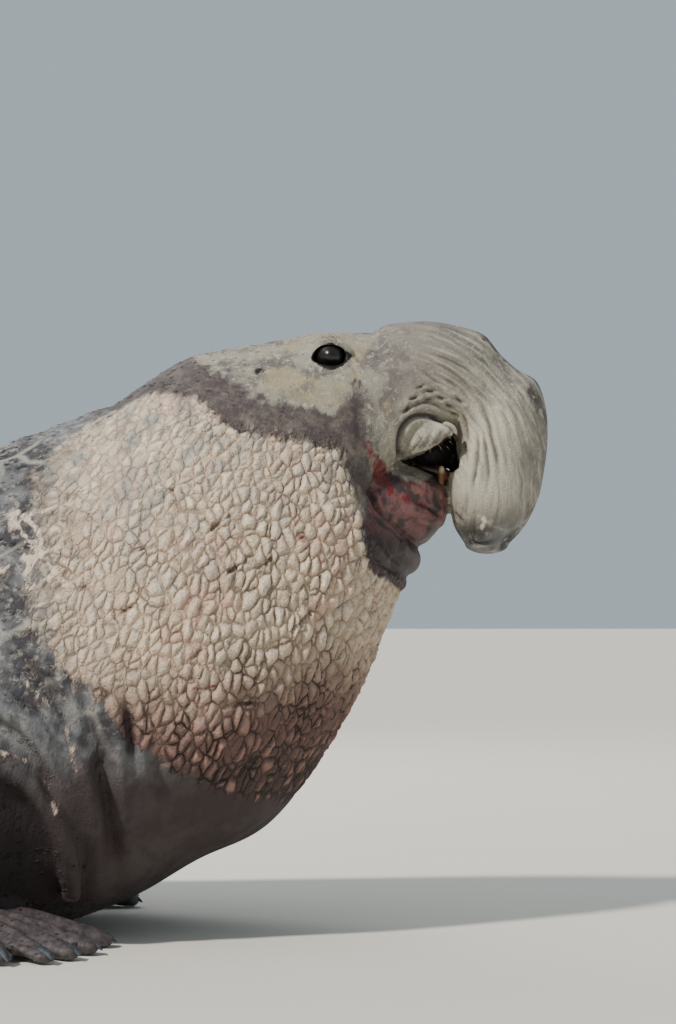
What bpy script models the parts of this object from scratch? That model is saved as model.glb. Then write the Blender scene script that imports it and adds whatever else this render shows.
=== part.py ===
"""Adult bull elephant seal at life size, resting on its belly with its forequarters raised.

Units are metres. +Z is up and +X runs from the tail to the head. The origin is on the floor,
in the middle of the belly's flat. The animal's right side is at -Y.

The trunk, head, snout and jaw are lofts through oval rings. A ring is given as it shows in the
side view, by its crown point and its keel point, with the half width that it has across the body.
"""

import math
from dataclasses import dataclass

import bmesh
import bpy
import numpy as np
from mathutils import Matrix, Vector

# Gaps and rounding
GAP = 0.0003
SURFACE_GAP = 0.0015
WELD = 0.00005
FLOOR_BOX = 8.0

# Sides of the lofts
TRUNK_SIDES = 36
SHIELD_SIDES = 60
SHIELD_STEPS = 26
HEAD_SIDES = 36
LIMB_SIDES = 10


@dataclass(frozen=True)
class Ring:
    """An oval cross-section, given in the side view and symmetric across the body.

    crown and keel are its highest and lowest points as (x, z). sag drops the widest level below
    the middle, as a share of the half height, and square is the exponent of the oval.
    """

    crown: tuple
    keel: tuple
    half_width: float
    sag: float = 0.10
    square: float = 2.2

    def values(self):
        """The ring's numbers in one row, for interpolation."""
        return (*self.crown, *self.keel, self.half_width, self.sag, self.square)


# The trunk, from the tail end to the cut between neck and head
TRUNK_RINGS = (
    Ring((-1.66, 0.330), (-1.66, 0.130), 0.105, 0.00, 2.0),
    Ring((-1.50, 0.420), (-1.50, 0.060), 0.175, 0.05, 2.1),
    Ring((-1.25, 0.520), (-1.25, -0.020), 0.270, 0.12, 2.2),
    Ring((-0.85, 0.635), (-0.85, -0.040), 0.400, 0.20, 2.3),
    Ring((-0.35, 0.745), (-0.35, -0.050), 0.490, 0.25, 2.4),
    Ring((0.20, 0.825), (0.22, -0.050), 0.545, 0.25, 2.4),
    Ring((0.70, 0.885), (0.78, -0.050), 0.565, 0.22, 2.4),
    Ring((1.00, 0.935), (1.12, -0.040), 0.560, 0.18, 2.35),
    Ring((1.22, 1.010), (1.44, 0.045), 0.540, 0.12, 2.3),
    Ring((1.36, 1.060), (1.62, 0.140), 0.515, 0.10, 2.25),
    Ring((1.47, 1.110), (1.78, 0.225), 0.490, 0.08, 2.2),
    Ring((1.545, 1.165), (1.935, 0.445), 0.415, 0.08, 2.2),
    Ring((1.60, 1.195), (2.045, 0.700), 0.335, 0.08, 2.2),
)
RUMP_DOME = 0.06
TAIL_END, HIPS_FRONT, LOINS_FRONT, BACK_FRONT, SHIELD_REAR, NECK_FRONT = 0, 3, 5, 6, 8, 12

# The head, from the same cut to the end of the upper jaw inside the root of the nose
HEAD_RINGS = (
    TRUNK_RINGS[NECK_FRONT],
    Ring((1.68, 1.213), (2.030, 0.800), 0.290, 0.12),
    Ring((1.76, 1.226), (2.000, 0.870), 0.258, 0.16),
    Ring((1.86, 1.244), (2.010, 0.920), 0.226, 0.20, 2.3),
    Ring((1.935, 1.2465), (2.030, 0.945), 0.198, 0.24, 2.3),
    Ring((2.00, 1.245), (2.065, 0.968), 0.176, 0.20),
    Ring((2.06, 1.235), (2.105, 0.985), 0.155, 0.10),
    Ring((2.11, 1.190), (2.140, 1.003), 0.130, 0.00),
    Ring((2.14, 1.140), (2.155, 1.030), 0.090, 0.00),
)

# The trunk-like nose: the crown runs along its outer face and the keel along its inner face
NOSE_RINGS = (
    Ring((1.965, 1.225), (2.020, 1.060), 0.140, 0.00),
    Ring((1.993, 1.255), (2.045, 1.045), 0.156, 0.05),
    Ring((2.030, 1.266), (2.080, 1.040), 0.162, 0.08),
    Ring((2.103, 1.2705), (2.125, 1.040), 0.160, 0.12),
    Ring((2.166, 1.260), (2.150, 1.035), 0.152, 0.16),
    Ring((2.218, 1.242), (2.158, 1.020), 0.142, 0.20),
    Ring((2.253, 1.201), (2.160, 1.008), 0.133, 0.24),
    Ring((2.288, 1.169), (2.159, 0.996), 0.130, 0.28, 2.3),
    Ring((2.330, 1.143), (2.155, 0.982), 0.134, 0.32, 2.4),
    Ring((2.350, 1.085), (2.147, 0.965), 0.139, 0.36, 2.4),
    Ring((2.353, 1.015), (2.139, 0.940), 0.139, 0.36, 2.4),
    Ring((2.346, 0.955), (2.139, 0.908), 0.133, 0.32, 2.4),
    Ring((2.333, 0.893), (2.144, 0.873), 0.124, 0.24, 2.3),
    Ring((2.304, 0.835), (2.152, 0.835), 0.108, 0.12),
    Ring((2.270, 0.797), (2.174, 0.799), 0.078, 0.00),
)
NOSE_TIP_DROP = 0.022

JAW_RINGS = (
    Ring((1.930, 0.968), (1.930, 0.800), 0.205, 0.00),
    Ring((1.995, 0.977), (1.990, 0.788), 0.186, 0.00),
    Ring((2.050, 0.973), (2.055, 0.787), 0.156, 0.00),
    Ring((2.088, 0.959), (2.096, 0.800), 0.128, 0.00),
    Ring((2.119, 0.946), (2.126, 0.832), 0.090, 0.00),
)
CHIN_DOME = 0.020
JAW_CLEARANCE = 0.006

# Rolls of skin under the chin: points of the right half from the throat out to the side
CHIN_ROLL = (
    (2.050, 0.000, 0.768),
    (2.032, -0.105, 0.784),
    (1.992, -0.180, 0.818),
    (1.955, -0.212, 0.858),
    (1.915, -0.215, 0.905),
)
CHIN_ROLL_RADIUS = 0.037
THROAT_ROLL = ((2.022, 0.000, 0.722), (2.010, -0.120, 0.742), (1.960, -0.220, 0.800))
THROAT_ROLL_RADIUS = 0.036
ROLL_END_SHARE = 0.55

# Whisker pad over the corner of the mouth
LIP_PAD = Vector((2.092, -0.118, 1.009))
LIP_PAD_SIZE = (0.072, 0.047, 0.040)
LIP_PAD_TILT = math.radians(-22)
LIP_PAD_SPLAY = math.radians(-16)

# Eyes, ear holes and nostrils
EYE = Vector((1.893, -0.143, 1.183))
EYE_RADIUS = 0.031
LID_MOUND = (0.052, 0.034, 0.041)
LID_OPENING = (0.034, 0.030, 0.0205)
LID_OPENING_OUT = 0.028
EAR = Vector((1.750, -0.217, 1.150))
EAR_RADIUS = 0.009
EAR_DEPTH = 0.030
NOSTRIL = Vector((2.262, -0.046, 0.792))
NOSTRIL_SIZE = (0.011, 0.008, 0.030)
NOSTRIL_LEAN = math.radians(-38)

# Mouth
MOUTH_OPENING = (
    (2.040, 0.971),
    (2.103, 0.991),
    (2.150, 1.022),
    (2.156, 1.010),
    (2.156, 0.955),
    (2.119, 0.947),
    (2.088, 0.960),
)
GUM = Vector((2.112, 0.0, 1.000))
GUM_SIZE = (0.031, 0.058, 0.026)
TONGUE_RINGS = (
    Ring((2.060, 0.972), (2.060, 0.950), 0.034, 0.00),
    Ring((2.080, 0.976), (2.080, 0.942), 0.048, 0.00),
    Ring((2.100, 0.972), (2.100, 0.938), 0.054, 0.00),
    Ring((2.120, 0.970), (2.120, 0.934), 0.050, 0.00),
    Ring((2.136, 0.962), (2.134, 0.932), 0.036, 0.00),
)
CANINE = Vector((2.124, -0.060, 0.940))
CANINE_HEIGHT = 0.026
CANINE_RADIUS = 0.0085

# Thin cuts that part the head: lines in the side view, drawn across the whole width
NOSE_CUT = ((1.950, 1.320), (1.995, 1.190), (2.080, 1.075), (2.148, 1.022), (2.152, 0.985))
JAW_CUT = (
    (2.110, 0.980),
    (2.060, 0.972),
    (2.030, 0.962),
    (1.965, 0.930),
    (1.978, 0.870),
    (2.075, 0.807),
    (2.160, 0.745),
)

# Cobbled shield of the neck
COBBLE_ROWS = 8
COBBLE_COLUMNS = 20
COBBLE_RELIEF = 0.012
COBBLE_JITTER = 0.32
COBBLE_SEED = 7

# Right fore limb
WRIST = Vector((1.12, -0.44, 0.070))
ARM = ((1.00, -0.30, 0.46), (1.05, -0.425, 0.34), (1.09, -0.455, 0.20), (1.12, -0.44, 0.075))
ARM_HALF_WIDTHS = (0.150, 0.150, 0.130, 0.115)
ARM_HALF_HEIGHTS = (0.100, 0.100, 0.085, 0.062)
FORE_DIGIT_TIPS = ((1.452, -0.400), (1.436, -0.535), (1.405, -0.628), (1.362, -0.690), (1.285, -0.712))
FORE_DIGIT_RADII = (0.036, 0.031, 0.030, 0.028, 0.027)
FORE_TIP_SHARE = 0.52
FORE_TIP_HEIGHT = 0.016
FORE_WEB_REACH = 0.90
FORE_CLAW_LENGTH = 0.045
FORE_CLAW_RADIUS = 0.0085

# Folds of skin over the right arm, each a line of points on the flank
ARM_FOLDS = (
    (
        (1.00, -0.500, 0.430),
        (1.13, -0.535, 0.412),
        (1.25, -0.537, 0.370),
        (1.335, -0.512, 0.290),
        (1.375, -0.466, 0.190),
        (1.385, -0.395, 0.105),
    ),
    (
        (1.06, -0.500, 0.545),
        (1.20, -0.537, 0.510),
        (1.31, -0.530, 0.440),
        (1.365, -0.495, 0.345),
        (1.385, -0.450, 0.270),
    ),
)
ARM_FOLD_RADIUS = 0.038

# Right hind flipper
ANKLE = Vector((-1.600, -0.115, 0.180))
HIND_AXIS = Vector((-1.0, -0.42, -0.24)).normalized()
HIND_SPREAD = Vector((0.30, -0.85, -0.40)).normalized()
HIND_DIGIT_LENGTHS = (0.44, 0.37, 0.34, 0.38, 0.46)
HIND_DIGIT_ANGLES = tuple(math.radians(a) for a in (-27, -14, 0, 14, 27))
HIND_DIGIT_RADII = (0.030, 0.020, 0.018, 0.020, 0.030)

TAIL_POINTS = ((-1.58, 0.0, 0.275), (-1.70, 0.0, 0.262), (-1.78, 0.0, 0.240), (-1.83, 0.0, 0.222))
TAIL_HALF_WIDTHS = (0.060, 0.045, 0.034, 0.016)
TAIL_HALF_HEIGHTS = (0.030, 0.024, 0.018, 0.009)


def clear_scene():
    """Removes every object that the file opened with."""
    for item in list(bpy.data.objects):
        bpy.data.objects.remove(item, do_unlink=True)


def link_mesh(name, shape):
    """A new object holding the bmesh, with its faces turned outward. The bmesh is freed."""
    bmesh.ops.recalc_face_normals(shape, faces=shape.faces)
    if shape.calc_volume(signed=True) < 0:
        bmesh.ops.reverse_faces(shape, faces=shape.faces)
    mesh = bpy.data.meshes.new(name)
    shape.to_mesh(mesh)
    shape.free()
    made = bpy.data.objects.new(name, mesh)
    bpy.context.scene.collection.objects.link(made)
    return made


def spline(rows, t):
    """Rows of numbers read at the positions t, on a Catmull-Rom curve through all of them."""
    rows = np.asarray(rows, float)
    last = len(rows) - 1
    t = np.clip(np.asarray(t, float), 0, last)
    i = np.minimum(t.astype(int), last - 1)
    f = (t - i)[:, None]
    before = rows[np.maximum(i - 1, 0)]
    here = rows[i]
    after = rows[i + 1]
    beyond = rows[np.minimum(i + 2, last)]
    slope_here = (after - before) / 2
    slope_after = (beyond - here) / 2
    return (
        here * (2 * f**3 - 3 * f**2 + 1)
        + slope_here * (f**3 - 2 * f**2 + f)
        + after * (3 * f**2 - 2 * f**3)
        + slope_after * (f**3 - f**2)
    )


def ring_grid(rings, t, sides):
    """Points of an oval loft, as an array of len(t) by sides by 3."""
    values = spline([ring.values() for ring in rings], t)
    crown, keel = values[:, 0:2], values[:, 2:4]
    width, sag, square = (values[:, k][:, None] for k in (4, 5, 6))
    angle = np.linspace(0, 2 * np.pi, sides, endpoint=False)[None, :]
    power = 2 / square
    across = np.sign(np.sin(angle)) * np.abs(np.sin(angle)) ** power
    level = np.sign(np.cos(angle)) * np.abs(np.cos(angle)) ** power
    level = level - sag * across**2
    middle = (crown + keel) / 2
    half = (crown - keel) / 2
    x = middle[:, 0:1] + half[:, 0:1] * level
    z = middle[:, 1:2] + half[:, 1:2] * level
    return np.stack([x, -width * across, z], axis=2)


def dome_rings(grid, toward, steps):
    """Shrinking rings that round off the end ring of a grid, over the offset toward."""
    end = grid[-1]
    centre = end.mean(axis=0)
    turns = np.linspace(0, math.pi / 2, steps + 1)[1:-1]
    rings = [centre + (end - centre) * math.cos(a) + np.asarray(toward) * math.sin(a) for a in turns]
    return np.concatenate([grid, np.array(rings)], axis=0), centre + np.asarray(toward)


def skin_grid(name, grid, tip=None):
    """A closed object over rings of points, with flat ends or with a last point tip."""
    shape = bmesh.new()
    rows = [[shape.verts.new(point) for point in ring] for ring in grid]
    sides = len(rows[0])
    for low, high in zip(rows, rows[1:]):
        for k in range(sides):
            n = (k + 1) % sides
            shape.faces.new((low[k], low[n], high[n], high[k]))
    shape.faces.new(rows[0])
    if tip is None:
        shape.faces.new(rows[-1])
    else:
        point = shape.verts.new(tip)
        for k in range(sides):
            shape.faces.new((rows[-1][k], rows[-1][(k + 1) % sides], point))
    return link_mesh(name, shape)


def oval_loft(name, rings, sides, steps, dome=None):
    """A closed loft through rings, with steps rings between each pair and an optional domed end."""
    t = np.linspace(0, len(rings) - 1, (len(rings) - 1) * steps + 1)
    grid = ring_grid(rings, t, sides)
    if dome is None:
        return skin_grid(name, grid)
    grid, tip = dome_rings(grid, dome, 4)
    return skin_grid(name, grid, tip)


def tube(name, points, half_widths, half_heights, flat, sides=LIMB_SIDES, steps=3):
    """A closed tube of oval section along points. flat is the direction that its width runs in."""
    t = np.linspace(0, len(points) - 1, (len(points) - 1) * steps + 1)
    path = spline(points, t)
    sizes = spline(np.column_stack([half_widths, half_heights]), t)
    along = np.gradient(path, axis=0)
    along /= np.linalg.norm(along, axis=1)[:, None]
    side = np.asarray(flat)[None, :] - along * (along @ np.asarray(flat))[:, None]
    side /= np.linalg.norm(side, axis=1)[:, None]
    up = np.cross(along, side)
    angle = np.linspace(0, 2 * np.pi, sides, endpoint=False)
    grid = (
        path[:, None, :]
        + side[:, None, :] * (np.cos(angle)[None, :] * sizes[:, 0:1])[:, :, None]
        + up[:, None, :] * (np.sin(angle)[None, :] * sizes[:, 1:2])[:, :, None]
    )
    end = along[-1] * sizes[-1].min()
    grid, tip = dome_rings(grid, end, 3)
    return skin_grid(name, grid, tip)


def ellipsoid(name, centre, sizes, turn=None, segments=20):
    """A closed ellipsoid with the half sizes given, turned by the matrix turn."""
    shape = bmesh.new()
    place = Matrix.Translation(centre) @ (turn or Matrix()) @ Matrix.Diagonal((*sizes, 1))
    bmesh.ops.create_uvsphere(shape, u_segments=segments, v_segments=segments // 2, radius=1, matrix=place)
    return link_mesh(name, shape)


def box(name, low, high):
    """A closed box between two corners."""
    shape = bmesh.new()
    middle = (Vector(low) + Vector(high)) / 2
    size = Vector(high) - Vector(low)
    bmesh.ops.create_cube(shape, size=1, matrix=Matrix.Translation(middle) @ Matrix.Diagonal((*size, 1)))
    return link_mesh(name, shape)


def prism(name, outline, half_width):
    """A closed prism across the body over a convex outline in the side view."""
    shape = bmesh.new()
    sides = [[shape.verts.new((x, y, z)) for x, z in outline] for y in (half_width, -half_width)]
    left, right = sides
    for side in sides:
        shape.faces.new(side)
    for k in range(len(outline)):
        n = (k + 1) % len(outline)
        shape.faces.new((left[k], left[n], right[n], right[k]))
    return link_mesh(name, shape)


def cut_sheet(name, line, thickness, half_width):
    """A thin folded sheet, following a line of the side view and running across the body."""
    points = [Vector((x, z)) for x, z in line]
    above, below = [], []
    for k, point in enumerate(points):
        ahead = points[min(k + 1, len(points) - 1)] - point
        behind = point - points[max(k - 1, 0)]
        directions = [d.normalized() for d in (ahead, behind) if d.length > 0]
        tangent = sum(directions, Vector((0, 0))).normalized()
        normal = Vector((-tangent.y, tangent.x))
        stretch = 1 / max(0.3, normal.dot(Vector((-directions[0].y, directions[0].x))))
        above.append(point + normal * thickness * stretch / 2)
        below.append(point - normal * thickness * stretch / 2)
    outline = above + below[::-1]
    shape = bmesh.new()
    left = [shape.verts.new((p.x, half_width, p.y)) for p in outline]
    right = [shape.verts.new((p.x, -half_width, p.y)) for p in outline]
    count = len(points)
    for side in (left, right):
        for k in range(count - 1):
            shape.faces.new((side[k], side[k + 1], side[-k - 2], side[-k - 1]))
    for k in range(len(outline)):
        n = (k + 1) % len(outline)
        shape.faces.new((left[k], left[n], right[n], right[k]))
    return link_mesh(name, shape)


def mirrored(piece, name):
    """A copy of the piece on the animal's left side."""
    shape = bmesh.new()
    shape.from_mesh(piece.data)
    bmesh.ops.scale(shape, vec=(1, -1, 1), verts=shape.verts)
    bmesh.ops.reverse_faces(shape, faces=shape.faces)
    return link_mesh(name, shape)


def both_sides(piece):
    """The piece and its copy on the other side."""
    return [piece, mirrored(piece, piece.name + "_far")]


def islands(shape):
    """The connected sets of faces of a bmesh."""
    left = set(shape.faces)
    found = []
    while left:
        start = left.pop()
        group, edge = {start}, [start]
        while edge:
            for near in {f for e in edge.pop().edges for f in e.link_faces}:
                if near in left:
                    left.discard(near)
                    group.add(near)
                    edge.append(near)
        found.append(group)
    return found


def volume_of(faces):
    """Volume inside a closed set of faces."""
    total = 0.0
    for face in faces:
        first = face.verts[0].co
        for a, b in zip(face.verts[1:], face.verts[2:]):
            total += first.dot(a.co.cross(b.co)) / 6
    return total


def boolean(base, others, operation, solver="EXACT"):
    """Applies one Boolean of all the other objects to base, and removes them."""
    group = bpy.data.collections.new("operands")
    bpy.context.scene.collection.children.link(group)
    for other in others:
        group.objects.link(other)
    modifier = base.modifiers.new("boolean", "BOOLEAN")
    modifier.operation = operation
    modifier.solver = solver
    modifier.operand_type = "COLLECTION"
    modifier.collection = group
    graph = bpy.context.evaluated_depsgraph_get()
    mesh = bpy.data.meshes.new_from_object(base.evaluated_get(graph), depsgraph=graph)
    base.modifiers.clear()
    base.data = mesh
    for other in others:
        bpy.data.objects.remove(other, do_unlink=True)
    bpy.data.collections.remove(group)
    return without_fins(base)


def without_fins(item):
    """Merges points that a Boolean left almost together, and drops pairs of faces over the same points."""
    shape = bmesh.new()
    shape.from_mesh(item.data)
    bmesh.ops.remove_doubles(shape, verts=shape.verts, dist=WELD)
    bmesh.ops.dissolve_degenerate(shape, edges=shape.edges, dist=WELD / 2)
    seen = {}
    for face in shape.faces:
        seen.setdefault(frozenset(face.verts), []).append(face)
    fins = [face for faces in seen.values() if len(faces) > 1 for face in faces]
    bmesh.ops.delete(shape, geom=fins, context="FACES")
    shape.to_mesh(item.data)
    shape.free()
    return item


def keep_largest(item):
    """Keeps only the object's largest closed surface."""
    shape = bmesh.new()
    shape.from_mesh(item.data)
    groups = sorted(islands(shape), key=volume_of)
    scraps = [face for group in groups[:-1] for face in group]
    bmesh.ops.delete(shape, geom=scraps, context="FACES")
    shape.to_mesh(item.data)
    shape.free()
    return item


def fuse(name, pieces):
    """The union of closed pieces, as one closed body."""
    base = boolean(pieces[0], pieces[1:], "UNION")
    base.name = name
    return keep_largest(base)


def grown_copy(item, by):
    """A copy of the object, larger by a set distance all over."""
    copy = bpy.data.objects.new(item.name + "_grown", item.data.copy())
    bpy.context.scene.collection.objects.link(copy)
    modifier = copy.modifiers.new("grow", "DISPLACE")
    modifier.strength = by
    modifier.mid_level = 0
    graph = bpy.context.evaluated_depsgraph_get()
    mesh = bpy.data.meshes.new_from_object(copy.evaluated_get(graph), depsgraph=graph)
    copy.modifiers.clear()
    copy.data = mesh
    return copy


def trim_to(item, neighbours):
    """Cuts the object back from its neighbours, leaving the gap that touching meshes keep."""
    boolean(item, [grown_copy(other, SURFACE_GAP) for other in neighbours], "DIFFERENCE")
    return keep_largest(item)


def set_on_floor(item):
    """Cuts the object flat at the floor."""
    under = box("under_floor", (-FLOOR_BOX, -FLOOR_BOX, -1), (FLOOR_BOX, FLOOR_BOX, 0))
    boolean(item, [under], "DIFFERENCE")
    return keep_largest(item)


def finish(item, colour, roughness):
    """Gives the object its own material and smooth shading."""
    material = bpy.data.materials.new(item.name)
    material.use_nodes = True
    shader = material.node_tree.nodes["Principled BSDF"]
    shader.inputs["Base Color"].default_value = (*colour, 1)
    shader.inputs["Roughness"].default_value = roughness
    shader.inputs["Metallic"].default_value = 0
    item.data.materials.clear()
    item.data.materials.append(material)
    item.data.shade_smooth()
    item.data.set_sharp_from_angle(angle=math.radians(40))


def ring_between(rings, t):
    """The ring at a fractional place along a list of rings."""
    row = spline([ring.values() for ring in rings], [t])[0]
    return Ring((row[0], row[1]), (row[2], row[3]), row[4], row[5], row[6])


def shortened(grid, share):
    """The grid with its last ring drawn back from the cut by half a gap."""
    step = grid[-1] - grid[-2]
    length = np.linalg.norm(step.mean(axis=0))
    grid[-1] = grid[-1] - step * (share / length)
    return grid


def trunk_piece(name, first, last, steps, dome=None):
    """A length of the trunk between two of its rings, drawn back a little at its joins.

    dome, where given, is the offset that the first ring is rounded off over.
    """
    t = np.linspace(first, last, (last - first) * steps + 1)
    grid = ring_grid(TRUNK_RINGS, t, TRUNK_SIDES)
    grid = shortened(grid, GAP / 2)[::-1].copy()
    if dome is None:
        return skin_grid(name, shortened(grid, GAP / 2))
    return skin_grid(name, *dome_rings(grid, dome, 4))


def cobble_height(row, column):
    """Height of the cobbles from 0 in the cracks to 1 on top, at places counted in cobbles."""
    draw = np.random.default_rng(COBBLE_SEED)
    jitter = draw.uniform(-COBBLE_JITTER, COBBLE_JITTER, (COBBLE_ROWS + 4, COBBLE_COLUMNS, 2))
    sizes = draw.uniform(0.82, 1.0, (COBBLE_ROWS + 4, COBBLE_COLUMNS))
    nearest = np.full(row.shape, 9.0)
    second = np.full(row.shape, 9.0)
    crest = np.zeros(row.shape)
    for down in (-1, 0, 1):
        for over in (-1, 0, 1):
            i = np.floor(row).astype(int) + down
            stagger = 0.5 * (i % 2)
            j = np.floor(column - stagger).astype(int) + over
            place = (i + 2) % (COBBLE_ROWS + 4), j % COBBLE_COLUMNS
            away = np.hypot(
                i + 0.5 + jitter[place][..., 0] - row,
                j + 0.5 + stagger + jitter[place][..., 1] - column,
            )
            closer = away < nearest
            second = np.where(closer, nearest, np.minimum(second, away))
            crest = np.where(closer, sizes[place], crest)
            nearest = np.minimum(nearest, away)
    crack = np.clip((second - nearest) / 0.35, 0, 1)
    dome = np.clip(1 - (nearest / 0.75) ** 2, 0, 1)
    return crest * (0.55 * crack * (2 - crack) + 0.45 * dome)


def shield_grid():
    """The neck's rings with its coarse cobbles raised on them, flat at both ends."""
    t = np.linspace(SHIELD_REAR, NECK_FRONT, SHIELD_STEPS + 1)
    grid = ring_grid(TRUNK_RINGS, t, SHIELD_SIDES)
    row = np.broadcast_to(np.linspace(0, COBBLE_ROWS, len(t))[:, None], grid.shape[:2])
    column = np.broadcast_to(np.linspace(0, COBBLE_COLUMNS, SHIELD_SIDES, endpoint=False), grid.shape[:2])
    height = cobble_height(row, column)
    along = np.gradient(grid, axis=0)
    around = np.roll(grid, -1, axis=1) - np.roll(grid, 1, axis=1)
    normal = np.cross(around, along)
    normal /= np.linalg.norm(normal, axis=2)[:, :, None]
    outward = grid - grid.mean(axis=1)[:, None, :]
    normal *= np.sign((normal * outward).sum(axis=2))[:, :, None]
    end = np.minimum(np.arange(len(t)), np.arange(len(t))[::-1]) / 2.0
    fade = np.clip(end, 0, 1)[:, None]
    nape = np.clip((np.abs(column / COBBLE_COLUMNS - 0.5) * -2 + 0.93) * 6, 0, 1)
    nape = np.maximum(nape, np.clip((0.55 - row / COBBLE_ROWS) * 5, 0, 1))
    lift = COBBLE_RELIEF * (height - 0.62) * fade * nape
    grid = grid + normal * lift[:, :, None]
    grid = shortened(grid, GAP / 2)
    return shortened(grid[::-1].copy(), GAP / 2)[::-1]


def roll_of_skin(name, points, radius):
    """A roll of skin right across the throat, thinning towards both ends."""
    far = [(x, -y, z) for x, y, z in points[:0:-1]]
    path = far + list(points)
    middle = (len(path) - 1) / 2
    share = [1 - (1 - ROLL_END_SHARE) * (abs(k - middle) / middle) ** 2 for k in range(len(path))]
    sizes = [radius * s for s in share]
    return tube(name, path, sizes, sizes, (0.3, 0.1, 1.0), sides=8, steps=3)


def lid_pieces():
    """The raised mound of the right eyelids."""
    mound = ellipsoid("lid_mound", EYE, LID_MOUND, segments=16)
    return both_sides(mound)


def head_cutters():
    """The eye sockets, lid openings, ear holes and nostrils."""
    socket = ellipsoid("socket", EYE, (EYE_RADIUS + GAP,) * 3, segments=16)
    opening = ellipsoid("lid_opening", EYE + Vector((0, -LID_OPENING_OUT, 0)), LID_OPENING, segments=16)
    ear = ellipsoid("ear_hole", EAR, (EAR_RADIUS, EAR_DEPTH, EAR_RADIUS), segments=10)
    return [c for piece in (socket, opening, ear) for c in both_sides(piece)]


def nostril_cutters():
    """The pair of slits at the tip of the nose."""
    turn = Matrix.Rotation(NOSTRIL_LEAN, 4, "Y")
    return both_sides(ellipsoid("nostril", NOSTRIL, NOSTRIL_SIZE, turn, segments=10))


def build_head():
    """The head, nose and lower jaw: one body, parted by thin cuts."""
    head = oval_loft("head", HEAD_RINGS, HEAD_SIDES, 2, dome=(0.012, 0, -0.006))
    nose = oval_loft("nose", NOSE_RINGS, HEAD_SIDES, 1, dome=(0, 0, -NOSE_TIP_DROP))
    jaw = oval_loft("jaw", JAW_RINGS, 24, 2, dome=(CHIN_DOME, 0, 0.004))
    chin = roll_of_skin("chin_roll", CHIN_ROLL, CHIN_ROLL_RADIUS)
    throat = roll_of_skin("throat_roll", THROAT_ROLL, THROAT_ROLL_RADIUS)
    turn = Matrix.Rotation(LIP_PAD_SPLAY, 4, "Z") @ Matrix.Rotation(LIP_PAD_TILT, 4, "Y")
    pad = ellipsoid("lip_pad", LIP_PAD, LIP_PAD_SIZE, turn, segments=16)
    boolean(nose, [grown_copy(jaw, JAW_CLEARANCE)], "DIFFERENCE")
    pieces = [head, nose, jaw, chin, throat, *both_sides(pad), *lid_pieces()]
    whole = fuse("head_whole", pieces)
    opening = prism("mouth_opening", MOUTH_OPENING, 0.4)
    boolean(whole, [opening, *head_cutters(), *nostril_cutters()], "DIFFERENCE")
    boolean(whole, [ellipsoid("gum", GUM, GUM_SIZE, segments=14)], "UNION")
    neck_side = box("neck_side", (-2, -1, -1), (0, 1, 1))
    cut = TRUNK_RINGS[NECK_FRONT]
    slope = Vector((cut.crown[0] - cut.keel[0], 0, cut.crown[1] - cut.keel[1])).normalized()
    ahead = Vector((slope.z, 0, -slope.x))
    middle = Vector(((cut.crown[0] + cut.keel[0]) / 2, 0, (cut.crown[1] + cut.keel[1]) / 2))
    place = Matrix((ahead, (0, 1, 0), slope)).transposed().to_4x4()
    place.translation = middle + ahead * GAP / 2
    neck_side.data.transform(place)
    boolean(whole, [neck_side], "DIFFERENCE")
    sheets = [cut_sheet("nose_cut", NOSE_CUT, GAP, 0.5), cut_sheet("jaw_cut", JAW_CUT, GAP, 0.5)]
    boolean(whole, sheets, "DIFFERENCE")
    return part_head(whole)


def part_head(whole):
    """Splits the cut head into its three nodes, named by where they lie."""
    shape = bmesh.new()
    shape.from_mesh(whole.data)
    groups = sorted(islands(shape), key=volume_of)[-3:]
    nodes = {}
    for group in groups:
        points = np.array([v.co for f in group for v in f.verts])
        if points[:, 0].max() > 2.3:
            name = "proboscis"
        elif points[:, 2].max() > 1.2:
            name = "head"
        else:
            name = "lower_jaw"
        piece = bmesh.new()
        copied = {}
        for face in group:
            for vert in face.verts:
                if vert not in copied:
                    copied[vert] = piece.verts.new(vert.co)
            piece.faces.new([copied[v] for v in face.verts])
        nodes[name] = link_mesh(name, piece)
    shape.free()
    bpy.data.objects.remove(whole, do_unlink=True)
    return nodes


def build_mouth(jaw, nose):
    """The tongue and the two lower canines, each cut to the jaw that it grows from."""
    tongue = oval_loft("tongue", TONGUE_RINGS, 14, 1, dome=(0.006, 0, 0))
    trim_to(tongue, [jaw, nose])
    teeth = []
    for name, side in (("canine_right", 1), ("canine_left", -1)):
        foot = Vector((CANINE.x, CANINE.y * side, CANINE.z - 0.02))
        points = [foot, foot + Vector((0.002, 0, 0.030)), foot + Vector((0.000, 0, 0.02 + CANINE_HEIGHT))]
        sizes = (CANINE_RADIUS, CANINE_RADIUS, CANINE_RADIUS * 0.3)
        tooth = tube(name, points, sizes, sizes, (1, 0, 0), sides=8, steps=2)
        trim_to(tooth, [jaw, tongue, nose])
        teeth.append(tooth)
    return [tongue, *teeth]


def build_eyes():
    """The two eyeballs."""
    right = ellipsoid("eye_right", EYE, (EYE_RADIUS,) * 3, segments=16)
    left = mirrored(right, "eye_left")
    return [right, left]


def claw(name, base, direction, length, radius, drop):
    """A curved, tapered claw that starts inside the digit."""
    ahead = Vector(direction).normalized()
    points = [
        base - ahead * length * 0.5,
        base + ahead * length * 0.1 + Vector((0, 0, 0.3 * radius)),
        base + ahead * length * 0.6 - Vector((0, 0, drop)),
    ]
    widths = (radius, radius, radius * 0.3)
    heights = (radius, radius * 0.8, radius * 0.3)
    return tube(name, points, widths, heights, (0, 1, 0.2), sides=6, steps=2)


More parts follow.
